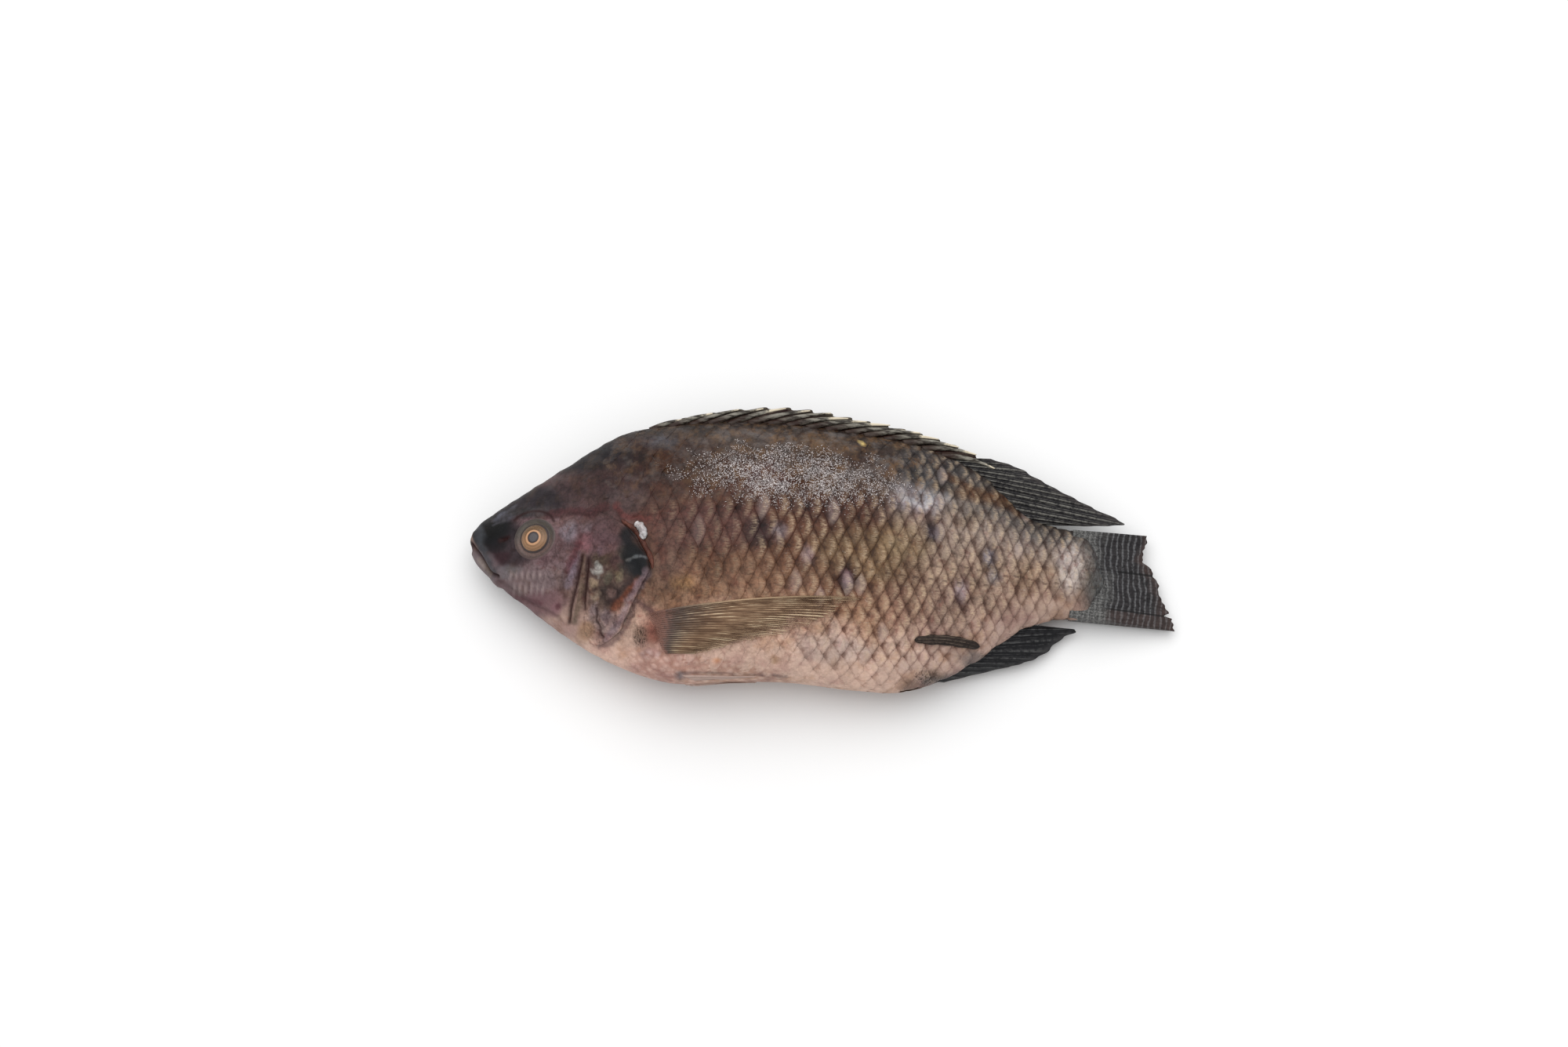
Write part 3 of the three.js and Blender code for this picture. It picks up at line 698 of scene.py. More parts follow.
SQUIGGLE = [(51.6, -30), (52.0, -32), (51.8, -34), (53.6, -36.4), (53.4, -38), (54.6, -39.6)]
MARK_ROWS = [([(15, -16.6), (33, -17.8)], 1.5), ([(16.5, -20.8), (34, -22.6)], 1.9)]
MARK_STEP = 2.35

# Ridges and grooves of the head: path, half width, height.
HEAD_LINES = [
    (UPPER_LIP, 1.5, 0.9), (LOWER_LIP, 1.9, 1.0), (MOUTH, 0.6, -1.5), (BROW, 2.2, 0.5),
    (CHEEK_RIDGE, 1.4, 0.9), (FRONT_GROOVE, 0.8, -0.9), (REAR_GROOVE, 0.8, -0.8),
    (CHEEK_CREASE, 1.2, -0.5), (JAW_FOLD, 1.3, -0.5), (RED_CREASE, 1.3, -0.3), (NOSTRIL, 0.8, -0.7),
]
FIN_HUMP, FIN_HUMP_REACH, FIN_HUMP_HEIGHT = (70.5, -39), (4.5, 5.0), 1.4
UNDER_SCALES = -0.5  # how far the skin is drawn in where scales cover it

# Dark lines in the skin: path, half width, darkness. On the mouth, the nostril, the grooves, the creases and
# the squiggle, which the relief cuts in, this dark is painted shade in their hollows; the line over the eye
# is a dark line.
DARK_LINES = [
    (MOUTH, 0.6, 1.0), (NOSTRIL, 0.9, 1.0), (FRONT_GROOVE, 0.8, 1.0), (REAR_GROOVE, 0.8, 0.85),
    (CHEEK_CREASE, 0.7, 0.35), (SQUIGGLE, 0.5, 0.85), (JAW_FOLD, 0.6, 0.35), (RED_CREASE, 0.7, 0.35),
    (EYE_CORNER, 0.6, 0.9),
]


def away_from(path, x, y):
    """Distance from each place to a smooth path, and the share along it where it is nearest."""
    shares = np.linspace(0, 1, 64)
    points = route(path)(shares)
    gaps = np.hypot(x[..., None] - points[:, 0], y[..., None] - points[:, 1])
    return gaps.min(axis=-1), shares[gaps.argmin(axis=-1)]


def bump(distance, width):
    """A bell of height 1 whose flanks have come down to a third at `width`."""
    return np.exp(-((distance / width) ** 2))


def head_relief(x, y):
    """How far the head's skin stands off the plain body: a bell across each ridge, a dent across each
    groove, bars on the cheek, and a raised ring round the eye."""
    lift = 0.16 * wobble(x, y, 2.6) + 0.14 * wobble(x + 40, y, 5.5)
    for path, width, height in HEAD_LINES:
        distance, along = away_from(path, x, y)
        faded = 1 if path is MOUTH else between(along, 0, 0.12, 0.88, 1)
        lift = lift + height * bump(distance, width) * faded
    lift = lift + 0.3 * small_marks(x, y)
    from_eye = np.hypot(x - EYE[0], y - EYE[1])
    return lift * (1 - bump(from_eye, 6.0)) + 0.5 * bump(from_eye - EYE_REACH, 1.6)


def body_relief(x, y):
    """Head relief in front, a low hump at the base of the paired fin, and behind that the skin drawn in
    to lie under the scales."""
    lift = head_relief(x, y) * between(x, 0, 2, 50, 62)
    away = np.hypot((x - FIN_HUMP[0]) / FIN_HUMP_REACH[0], (y - FIN_HUMP[1]) / FIN_HUMP_REACH[1])
    lift = lift + FIN_HUMP_HEIGHT * bump(away, 1.0)
    behind = smooth(x - first_scale(y), 4, 12) * smooth(y - lowest_scale(x), 2, 8)
    return mix(lift, UNDER_SCALES, behind)


def darkness(x, y):
    """How dark the dark lines make each place, 0 to 1; in the head's hollows this is painted shade."""
    dark = np.zeros_like(x)
    for path, width, depth in DARK_LINES:
        distance, _ = away_from(path, x, y)
        dark = np.maximum(dark, depth * bump(distance, width))
    return dark


# ---- Where the scales lie ----

EDGE_SWEEP = 0.55  # how far a scale's rear edge sweeps forward at its corners, in scale lengths
EDGE_POWER = 1.5
LENS_LENGTH = 0.8  # the light part of a scale along its middle, in scale lengths
LENS_SWEEP = 0.26  # how much shorter it is at its corners
PLATE_REACH = 1.3  # how far ahead of its rear tip a plate reaches, in scale lengths
PLATE_HALF_WIDTH = 1.04  # in row heights
PLATE_RISE = 0.15  # how far a plate's rear tip stands off the skin
PLATE_SLOPE = 0.115  # how much it sinks for each scale length ahead
PLATE_BEND = 0.04  # how much lower its sides lie than its middle
PLATE_THICK = 0.06
PLATE_SCATTER = 0.07  # how unevenly the plates lie, in scale lengths and row heights

first_scale = curve([
    (-53, 70), (-45, 82), (-38, 86), (-31, 84), (-25, 76), (-12, 75), (6, 63), (18, 52), (34, 47), (47, 56),
])
lowest_scale = curve([(60, -40), (78, -43), (92, -44.5), (110, -46.5), (126, -49), (140, -54), (244, -54)])
# Where white glints of the wet skin are painted on the back: middle and reaches.
GLINT_PLACE, GLINT_REACH = (122, 25), (48, 15)


def scaled(x, y):
    """1 above the lowest scales, fading to 0 over the bare skin of the breast."""
    return smooth(y - lowest_scale(x), -2.5, 1.0)


def clarity(x, y):
    """How clearly the scales' outlines show: the product of S-shaped fades that make them faint on the
    nape, on the back where the glints are painted, low on the belly, at the tail's root and where the scales
    begin."""
    front = smooth(x + 0.8 * y, 76, 130)
    on_back = 1 - 0.92 * smooth(y - 0.1 * (x - 100), 11, 19) * (1 - smooth(x, 156, 176))
    low = smooth(y - belly(x), 1, 12)
    on_tail = 1 - 0.85 * smooth(x, 229, 238)
    inside = smooth(x - first_scale(y), -2, 14) * smooth(y - lowest_scale(x), -2, 7)
    return mix(0.35, 1.0, front) * on_back * mix(0.35, 1.0, low) * on_tail * inside


def hazy(x, y):
    """How much grey slime blurs the scales: 1 on the back, less on the nape, and 0 below and behind."""
    above = smooth(y - 0.1 * (x - 100) + 3 * wobble(x, y, 11), 8, 24)
    return above * mix(0.5, 1.0, smooth(x, 78, 104)) * (1 - smooth(x, 168, 186))


def speckles(x, y):
    """How thick the black specks are: on spots at the base of the paired fin and at the vent, and on the
    tail's root."""
    fin_base = np.hypot((x - 69) / 4.0, (y + 39.6) / 5.0)
    vent = np.hypot((x - 177) / 7.0, (y + 45.6) / 3.6)
    spots = 1 - smooth(np.minimum(fin_base, vent), 0.3, 1.1)
    return np.maximum(spots, 0.55 * smooth(x, 231, 239))


def calm(x, y):
    """How even the skin is: mottled above, and smooth towards the belly."""
    return 1 - smooth(y - belly(x), 5, 20)


def glint_cover(x, y):
    """How thick the painted glints of the wet skin lie: 1 in the middle, fading as an S with the distance in
    its reaches.
    """
    away = np.hypot((x - GLINT_PLACE[0]) / GLINT_REACH[0], (y - GLINT_PLACE[1]) / GLINT_REACH[1])
    away = away * (1 + 0.2 * wobble(x, y, 6.0))
    return 1 - smooth(away, 0.35, 1.05)


# ---- Finishes ----

BLACK = (20, 17, 17)
LINE_BROWN = (46, 28, 22)
CREAM = (226, 214, 190)
WET = {"Specular_IOR_Level": 0.16}  # the gloss of skin and scales
FIN_GLOSS = {"Specular_IOR_Level": 0.2}


def mottled(recipe, contrast):
    """The paint kept on the mesh, uneven at two sizes, stained golden, purple and red in places, darkened
    along thin creases as painted shade, blurred by grey slime and brown earth, and specked. Returns the
    colour and the finest noise."""
    stains = recipe.noise(12.0, 5.0, 0.65)
    blotches = recipe.noise(5.0, 4.0, 0.62)
    mottle = recipe.noise(1.3, 5.0, 0.72)
    red = recipe.noise(3.4, 4.0, 0.6)
    crease_shade = abs(recipe.noise(4.0, 1.0, 0.5, (0.9, 1.5, 1.0)) - 0.5)
    slime = recipe.noise(6.5, 5.0, 0.7)
    earth = recipe.noise(4.5, 5.0, 0.72, (1.0, 1.4, 1.0))
    specks = recipe.noise(0.8, 3.0, 0.7, (0.7, 2.0, 1.0))
    strength, hazy_part = 1.0 - recipe.read("calm") * 0.65, recipe.read("hazy")
    shade = 1.0 + ((blotches - 0.5) * 1.3 + (mottle - 0.5) * 1.6) * strength * contrast
    colour = recipe.layers(
        recipe.lit(recipe.read_colour("paint"), shade.top(0.25)),
        (stains.rise(0.5, 0.66) * 0.4, (206, 172, 124), "MULTIPLY"),
        (stains.rise(0.5, 0.34) * 0.4, (196, 160, 172), "MULTIPLY"),
        (red.rise(0.54, 0.7) * strength * 0.4, (206, 136, 124), "MULTIPLY"),
        # Thin creases darkened: painted shade.
        (crease_shade.rise(0.07, 0.0) * strength * 0.35, (150, 116, 116), "MULTIPLY"),
        (slime.rise(0.44, 0.7) * hazy_part * 0.45, (122, 116, 114)),
        (earth.rise(0.44, 0.7) * hazy_part * 0.6, (116, 88, 62)),
        (specks.rise(0.44, 0.6) * recipe.read("speckled") * 0.85, (46, 38, 34)),
    )
    return colour, mottle


def skin_finish():
    """Bare mottled skin, with pale marks and dark lines on the head, painted shade in its grooves, and small
    scales on the breast.
    """
    recipe = Recipe("bare skin")
    colour, mottle = mottled(recipe, 1.25)
    breast = recipe.read("breast")
    small = recipe.cells(2.6).rise(0.1, 0.75)
    colour = recipe.layers(
        colour,
        (recipe.read("pale") * 0.55, (160, 142, 140)),
        # The dark read from the mesh: painted shade in the head's grooves and hollows, and other dark lines
        # and rims.
        (recipe.read("dark"), LINE_BROWN),
        (breast * small * 0.45, (184, 140, 124), "MULTIPLY"),
    )
    return recipe.finish(colour, 0.4 + mottle * 0.3, mottle * 0.8 - small * breast, 0.25, **WET)


def scale_finish():
    """What shows of each scale is a light upright lens along its rear edge, made lighter as painted light,
    and a dark corner before it, which with all else outside the lens is darkened as painted shade from the
    scale in front; with a dark rear line, a pale ribbed stripe of painted highlight streaks, glints, pores
    on the lateral lines, and white specks painted as glints of the wet skin on the back.
    Numbers on the mesh tell the distance ahead of the rear tip and across the row."""
    recipe = Recipe("scales")
    ahead, across = recipe.read("ahead"), recipe.read("across")
    clear, chance = recipe.read("clear"), recipe.read("chance")
    colour, mottle = mottled(recipe, 1.5 - clear * 0.5)
    wide = abs(across)
    ragged = (mottle - 0.5) * 0.3
    own_edge = ahead - (wide.top(0.001) ** EDGE_POWER) * EDGE_SWEEP + ragged
    front_edge = LENS_LENGTH - wide * wide * LENS_SWEEP - ahead + ragged
    # The lens: what shows next to the scale's rear edge, made lighter below as painted light.
    lens = own_edge.rise(-0.04, 0.2) * front_edge.rise(-0.16, 0.24) * wide.rise(1.0, 0.4)
    # The corner before the lens, darkened below as painted shade under the scale in front.
    corner = front_edge.rise(0.12, -0.16) * wide.rise(0.8, 0.15)
    seen = clear * recipe.noise(7.0, 3.0).rise(0.28, 0.56)
    # A pale stripe of streaks in the lens: painted highlight.
    stripe = own_edge.rise(0.06, 0.26) * own_edge.rise(0.58, 0.3) * wide.rise(0.8, 0.1)
    streaks = recipe.noise(0.9, 3.0, 0.7, (2.2, 0.6, 1.0)).rise(0.36, 0.62)
    ribs = (across * 52.0 + mottle * 18.0).sine().rise(0.0, 1.0) * stripe * clear.rise(0.4, 1.0)
    glints = recipe.noise(0.8, 3.0, 0.7, (1.6, 0.7, 1.0)).rise(0.58, 0.72) * lens * clear
    pores = recipe.read("pore") * wide.rise(0.12, 0.02) * own_edge.rise(0.1, 0.2) * own_edge.rise(0.62, 0.46)
    # Where the glints lie, white specks are laid on: painted glints of the wet skin.
    glint_share = recipe.read("frost")
    glint_flakes = recipe.noise(0.7, 3.0, 0.7).rise(0.53, 0.62) * recipe.noise(4.0, 3.0).rise(0.38, 0.58)
    colour = recipe.layers(
        # Each scale is lighter or darker by chance, and its lens is made lighter as painted light.
        recipe.lit(colour, 1.0 + (chance - 0.5) * 0.26 * clear + lens * clear * 0.22),
        # Outside the lens, and most in the corner, the colour is darkened: painted shade from the scale in
        # front.
        ((1.0 - lens) * seen * 0.4, (172, 132, 108), "MULTIPLY"),
        (corner * seen * 0.7, (150, 112, 94), "MULTIPLY"),
        (own_edge.rise(0.09, 0.0) * seen * 0.15, (132, 96, 82), "MULTIPLY"),
        # The stripe's painted highlight streaks.
        (stripe * clear * streaks * (0.16 + chance * 0.34), (212, 186, 154)),
        (chance.rise(0.88, 0.93) * lens * clear * 0.3, (150, 138, 138)),
        (ribs * 0.12, (226, 206, 180)),
        (glints * 0.24, (216, 202, 190)),
        (pores * 0.45, LINE_BROWN),
        (glint_share * glint_flakes * 0.55, (206, 196, 194)),
    )
    height = lens * clear * 0.5 + mottle * 0.8 + glint_flakes * glint_share * 0.8
    rough = 0.38 + mottle * 0.28 + glint_share * 0.1
    return recipe.finish(colour, rough, height, 0.2, **WET)


skin_material = skin_finish()
scale_material = scale_finish()

# ---- The skin under the scales, and the head ----


def body_skin():
    """The whole body as rings from snout to tail. Rings lie closer on the head, and the points of a ring
    lie closer at the back and the belly, where the section bends most."""
    head_end, head_step, rear_step, last = 82.0, 0.6, 2.2, FLESH_END - 0.4
    places = np.concatenate([
        [END_GAP, 0.25], np.arange(0.6, head_end, head_step), np.arange(head_end, last, rear_step),
        [last, FLESH_END - END_GAP],
    ])
    turns = np.linspace(-math.pi, math.pi, 320, endpoint=False)
    x, angle = grid(places, turns - 0.2 * np.sin(2 * turns))
    height = bare_skin(x, angle)[..., 1]
    points = skin(x, angle, body_relief(x, height))
    numbers = {
        "dark": darkness(x, height),
        "calm": calm(x, height),
        "hazy": 0.4 * hazy(x, height),
        "pale": small_marks(x, height),
        "speckled": speckles(x, height),
        "breast": (1 - scaled(x, height)) * smooth(x, 58, 72) * smooth(-height, 30, 40),
    }
    tubes("body_skin", points[None], skin_material, "head_skin", numbers, skin_colour(x, height))


MOST_ROWS = 15  # rows above and below the widest line
SCALED_ANGLE = 1.54  # scales end just short of the back's and the belly's midline


def row_run(row):
    """How far from the widest line a row lies, in row heights: its number, and below the line a little of
    its square, so that rows draw together towards the belly."""
    below = np.minimum(row, 0)
    return row + 0.022 * below**2


def scale_places():
    """Place, length and row of the rear tip of every scale on a flank, from the solid's staggered net."""
    places = [0.0]
    while places[-1] < FLESH_END:
        places.append(places[-1] + float(scale_length(places[-1])) / 2)
    places = np.array(places)
    columns, rows = grid(np.arange(2, len(places)), np.arange(-MOST_ROWS, MOST_ROWS + 1))
    staggered = (columns + rows) % 2 == 0
    columns, rows = columns[staggered], rows[staggered]
    tip, length = places[columns], places[columns] - places[columns - 2]
    run = row_run(rows) * row_height(tip)
    angle = around_after(tip, run, LEFT)
    height = bare_skin(tip, angle)[..., 1]
    kept = (np.abs(angle) < SCALED_ANGLE) & (places[columns - 2] > first_scale(height) - 1.5)
    kept &= (height > lowest_scale(tip)) & (tip < FLESH_END - 1.5)
    return tip[kept], length[kept], rows[kept]


# Two paths along which the scales have pores.
LATERAL_LINES = [
    [(58, 7.4), (78.5, 5.9), (106.4, 7.4), (148.7, 14), (180, 18)],
    [(144, -7.8), (174, -7.1), (210, -5.4), (237, -3.9)],
]
LINE_REACH = 3.4  # how near to a path a scale's middle has to lie


def scales(name, side):
    """Overlapping plates. A plate's rear edge sweeps forward from its tip as a power of the share across.
    Its surface slopes down to the front, where the plates before it cover it, and bends down to both
    sides as the share across squared. Its rim is thinned, and it dips at its front."""
    tip, length, rows = scale_places()
    count = len(tip)
    chance = np.random.default_rng(7 if side == LEFT else 8)
    across = np.linspace(-PLATE_HALF_WIDTH, PLATE_HALF_WIDTH, 8)
    share, t = grid([0.0, 0.06, 0.3, 0.62, 1.0], across)
    sweep = EDGE_SWEEP * np.abs(t) ** EDGE_POWER
    ahead = sweep + share * (PLATE_REACH - sweep)
    moved = chance.normal(0, PLATE_SCATTER, (2, count, 1, 1))
    place = tip[:, None, None] - length[:, None, None] * (ahead[None] + moved[0])
    run = row_run(rows[:, None, None] + t[None] + moved[1]) * row_height(place)
    angle = around_after(place, run, side)
    height = bare_skin(place, angle)[..., 1]
    clear = clarity(place, height)
    relief = mix(0.3, 1.0, clear)
    skew = chance.uniform(0.9, 1.1, (count, 1, 1))
    lift = PLATE_RISE * skew - PLATE_SLOPE * ahead - PLATE_BEND * t**2
    lift = relief * (lift - PLATE_THICK * (1 - smooth(share, 0, 0.06))) - 0.25 * smooth(share, 0.6, 1.0)
    upper = skin(place, angle, lift)
    lowered = skin(place, angle, lift - PLATE_THICK * relief)
    on_line = np.zeros(count)
    centre_x, centre_y = place[:, 1, 4], height[:, 1, 4]
    for line in LATERAL_LINES:
        distance, along = away_from(line, centre_x, centre_y)
        on_line = np.maximum(on_line, (distance < LINE_REACH) & (along > 0) & (along < 1))
    wide = np.ones_like(place)
    numbers = {
        "ahead": wide * ahead,
        "across": wide * t,
        "clear": clear,
        "calm": calm(place, height),
        "chance": wide * chance.uniform(0, 1, (count, 1, 1)),
        "hazy": hazy(place, height),
        "speckled": speckles(place, height),
        "frost": glint_cover(place, height) * (side == LEFT),
        "pore": wide * on_line[:, None, None],
    }
    plates(name, upper, upper - lowered, scale_material, "flesh", numbers, skin_colour(place, height))


body_skin()
scales("scales_left", LEFT)
scales("scales_right", RIGHT)

# ---- Gill covers ----

gill_edge = curve([
    (-42.4, 53), (-39.8, 58.8), (-34, 62.9), (-28, 65.6), (-20.6, 68.9), (-15.5, 70.9), (-11.8, 69.7),
    (-6.8, 66.5), (-2.5, 63.4), (0.8, 60.2), (4, 55), (6.5, 50),
])
gill_front = curve([(-42.4, 50), (-36, 46), (-30, 46.5), (-10, 47), (6.5, 46)])
COVER_HEIGHTS = (-42.2, 6.4)
# Round scales on the gill cover: place along the fish, height, reach, colour.
COVER_SCALES = {
    "round white": (51.3, -15.7, 2.3, (164, 162, 156)),
    "upper cream": (50.0, -21.0, 2.0, (146, 126, 106)),
    "lower cream": (50.9, -25.6, 2.0, (124, 108, 94)),
    "rear cream": (59.6, -18.4, 2.0, (116, 106, 88)),
    "middle grey": (55.5, -19.0, 2.2, (84, 78, 68)),
    "brown": (57.1, -24.8, 2.0, (104, 84, 80)),
    "low mauve": (50.6, -30.4, 2.2, (126, 110, 110)),
    "low grey": (55.6, -32.6, 2.4, (104, 88, 90)),
    "upper mauve": (57.6, -12.6, 2.6, (84, 64, 66)),
    "front mauve": (52.6, -8.6, 2.4, (104, 82, 88)),
}


def gill_cover(name, side):
    """A sheet from under the cheek to the free edge. It stands higher towards the rear as a power of the
    share from front to rear, less near its ends, with a low dome for every scale and a winding groove."""
    u, v = grid(1 - (1 - np.linspace(0, 1, 84)) ** 1.25, np.linspace(0, 1, 150))
    y = mix(*COVER_HEIGHTS, v)
    x = mix(gill_front(y), gill_edge(y) + 0.35 * wobble(y, y * 0.3, 2.2), u)
    ends = 1 - np.abs(2 * v - 1) ** 5
    height = 0.15 + 1.65 * u**1.3 * ends - 0.5 * (1 - smooth(u, 0, 0.06))
    height = height + (0.2 * wobble(x, y, 2.4) + 0.16 * wobble(x, y, 5)) * smooth(u, 0.04, 0.2) * ends
    distance, _ = away_from(SQUIGGLE, x, y)
    height = height - 0.6 * bump(distance, 0.9)
    colours = skin_colour(x, y)
    outline = np.zeros_like(x)
    for px, py, reach, shade in COVER_SCALES.values():
        away = np.hypot(x - px, (y - py) * 0.86) / reach * (1 + 0.35 * wobble(1.3 * x + px, y, 1.6))
        dome = 1 - smooth(away, 0.4, 1.2)
        height = height + 0.2 * dome
        colours = mix(colours, light_linear(shade), (0.85 * dome)[..., None])
        outline = np.maximum(outline, 0.45 * bump(away - 1.2, 0.2) * (0.5 + 0.5 * wobble(x, y, 2.0)))
    rim = smooth(u, 0.965, 1.0)
    dark = np.maximum(np.maximum(outline, darkness(x, y)), 0.5 * rim)
    thin = 0.7 - 0.4 * smooth(u, 0.8, 1)
    upper = on_flank(x, y, side, height - 0.25 * smooth(u, 0.985, 1.0))
    lower = on_flank(x, y, side, height - thin)
    slab(name, upper, lower, skin_material, "head_skin", {"dark": dark}, colours)


def ribbon(name, path, half_width, lifts, shade):
    """A soft strip along a path on the left flank, for the red gill edge, whose dark red is partly painted
    shade in the gill opening, and the pale flap beside it: its dome is 1 - across squared, and both dome and
    width taper to the ends as the root of 1 - share^4."""
    t, across = grid(np.linspace(0, 1, 40), np.linspace(-1, 1, 11))
    middle_line, ahead = route(path)(t), route(path)(np.minimum(t + 0.01, 1.0))
    along = ahead - middle_line
    along[-1] = along[-2]
    along = unit(along)
    taper = np.sqrt(np.clip(1 - (2 * t - 1) ** 4, 0, 1)) + 0.02
    width = half_width * taper * (1 + 0.25 * wobble(t * 30, across, 2.5))
    x = middle_line[..., 0] - along[..., 1] * across * width
    y = middle_line[..., 1] + along[..., 0] * across * width
    base, top = lifts
    dome = (1 - across**2) * taper
    upper = on_flank(x, y, LEFT, mix(base, top, dome) + 0.1 * wobble(x * 3, y * 3, 2))
    lower = on_flank(x, y, LEFT, base - 0.4)
    colours = np.broadcast_to(light_linear(shade), (*x.shape, 3))
    # Each strip darkens towards its sides: painted shade where it meets the skin round it.
    numbers = {"dark": 0.5 * np.abs(across) ** 3}
    slab(name, upper, lower, skin_material, "head_skin", numbers, colours)


# ---- Eyes ----

# The radii at which its rings end.
PUPIL, THIN_RING, IRIS, BALL, CLEAR_RING = 2.15, 2.75, 5.15, 5.6, 8.4


def eye_finish():
    """Rings by distance from the middle: grey pupil, pale ring, ringed amber iris, dark line, and a clear
    ring of grey-brown skin with a dark rim, which fades into the paint of the skin."""
    recipe = Recipe("eye")
    radius, turn = recipe.read("radius"), recipe.read("above")
    uneven = (recipe.noise(1.2, 3.0) - 0.5) * 0.7
    streaks = recipe.noise(0.6, 3.0)
    far = radius + uneven * 0.5
    amber = recipe.blend(turn.rise(-0.4, 0.8), (142, 110, 82), (96, 76, 54))
    amber = recipe.blend(streaks.rise(0.4, 0.7) * 0.4, amber, (150, 114, 92))
    pupil = recipe.blend(far.rise(1.1, PUPIL - 0.1), (86, 82, 83), (52, 46, 47))
    rings = (far * 6.0 + streaks * 2.0).sine().rise(0.2, 1.0) * far.rise(THIN_RING, THIN_RING + 0.5)
    outer = recipe.blend(turn.rise(-0.6, 0.4), (104, 84, 78), (78, 72, 64))
    outer = recipe.blend(streaks.rise(0.3, 0.8) * 0.5, outer, (62, 52, 54))
    rim = far.rise(CLEAR_RING - 2.0, CLEAR_RING - 1.3) * far.rise(CLEAR_RING - 0.5, CLEAR_RING - 1.2)
    colour = recipe.layers(
        pupil,
        (far.rise(PUPIL - 0.2, PUPIL + 0.2), (190, 146, 112)),
        (far.rise(THIN_RING - 0.2, THIN_RING + 0.35), amber),
        (rings * 0.35, (84, 64, 54)),
        (far.rise(IRIS - 0.55, IRIS), (62, 54, 54)),
        (far.rise(BALL - 0.3, BALL + 0.4), outer),
        (rim * 0.5, (58, 52, 52)),
        (far.rise(CLEAR_RING - 1.2, CLEAR_RING - 0.1), recipe.read_colour("paint")),
    )
    rough = 0.3 + far.rise(BALL, CLEAR_RING) * 0.14
    return recipe.finish(colour, rough, streaks * far.rise(PUPIL, BALL), 0.12, Specular_IOR_Level=0.3)


def eye(name, side):
    """A low dome with a moat round it and a soft clear ring beyond, as circles round the eye's middle.
    Its height over the skin is a function of the radius, and its last circle turns down into the skin."""
    radii = np.concatenate([[0.02], np.linspace(0.35, CLEAR_RING, 40)])
    radius, turn = grid(radii, circle(112))
    x = EYE[0] + radius * np.cos(turn)
    y = EYE[1] + radius * np.sin(turn)
    profile = curve([
        (0, 2.2), (2, 2.1), (4.2, 1.6), (5.1, 1.0), (5.7, 0.5), (6.3, 0.62), (7.2, 0.8), (7.9, 0.6),
        (CLEAR_RING, 0.0),
    ])
    uneven = 0.08 * wobble(x * 2, y * 2, 2.0) * smooth(radius, 5.6, 6.4)
    upper = on_flank(x, y, side, profile(radius) + uneven)
    under = on_flank(x[-1], y[-1], side, -1.2)
    colours = skin_colour(x, y)
    rings = np.concatenate([upper, under[None]])
    numbers = {
        "radius": np.concatenate([radius, radius[-1:]]),
        "above": np.sin(np.concatenate([turn, turn[-1:]])),
    }
    tubes(name, rings[None], eye_material, "eye", numbers, np.concatenate([colours, colours[-1:]]))


# ---- Fins ----


def fin_finish(name, web, ray, tip, ray_width=0.5, glow=0.5, black=0.4):
    """Stripes along the rays, with finer hairs between them, over a darker web, broken by noise and dark
    flecks, with another colour at the tips."""
    recipe = Recipe(name)
    rays, along = recipe.read("ray"), recipe.read("along")
    flecks = recipe.noise(1.8, 4.0, 0.7)
    patches = recipe.noise(6.0, 3.0)
    stripes = (rays * (2 * math.pi)).sine()
    hairs = (rays * (6 * math.pi) + patches * 9.0).sine().rise(0.0, 1.0) * flecks.rise(0.4, 0.6)
    colour = recipe.layers(
        web,
        (stripes.rise(1.0 - 2 * ray_width, 1.0) * flecks.rise(0.3, 0.62) * glow, ray),
        (hairs * glow * 0.6, ray),
        (along.rise(0.74, 1.0) * patches.rise(0.3, 0.55), tip),
        (flecks.rise(0.5, 0.28) * black, BLACK),
    )
    height = stripes.rise(-1.0, 1.0) + flecks * 0.3
    return recipe.finish(colour, 0.5 + flecks * 0.25, height, 0.3, **FIN_GLOSS)


def pectoral_finish():
    """Forked cream rays over a brown web that is grey near the pink root and turns clear towards the rim,
    so that the scales under it show. The rays drift, and fork where one sine gives way to one twice as
    fine."""
    recipe = Recipe("paired fins")
    rays, along = recipe.read("ray"), recipe.read("along")
    flecks = recipe.noise(1.6, 4.0, 0.7)
    patches = recipe.noise(7.0, 3.0)
    bundles = recipe.noise(1.5, 3.0, 0.6, (9.0, 1.0, 1.0))
    split = along.rise(0.3, 0.7)
    drift = (bundles - 0.5) * 3.0
    wave, forked = (rays * (2 * math.pi) + drift).sine(), (rays * (4 * math.pi) + drift).sine()
    stripes = wave * (1.0 - split) + forked * split
    lit = stripes.rise(0.1, 1.0) * bundles.rise(0.34, 0.62)
    web = recipe.layers(
        (78, 71, 70),
        ((along + (flecks - 0.5) * 0.3).rise(0.12, 0.5), (134, 106, 84)),
        (bundles.rise(0.5, 0.36) * 0.6, (92, 70, 56)),
        (stripes.rise(-0.2, -0.9) * 0.5, (80, 62, 50)),
    )
    ray = recipe.blend(along.rise(0.1, 0.45), (112, 100, 95), (204, 176, 144))
    bright = stripes.rise(0.3, 1.0) * bundles.rise(0.5, 0.66) * along.rise(0.16, 0.36)
    colour = recipe.layers(
        web,
        ((lit * 0.7).top(rays.rise(1.6, 0.7) * 0.7), ray),
        (bright * 0.75, (232, 212, 178)),
        ((along + (flecks - 0.5) * 0.2).rise(0.2, 0.06) * 0.92, (150, 110, 98)),
    )
    clear = (along + (patches - 0.5) * 0.4).rise(0.58, 1.05)
    alpha = (1.0 - clear * (1.0 - lit * 0.8)) * (along + (flecks - 0.5) * 0.08).rise(0.03, 0.13)
    height = stripes.rise(-1.0, 1.0) + flecks * 0.3
    return recipe.finish(colour, 0.5 + flecks * 0.2, height, 0.25, alpha, **FIN_GLOSS)


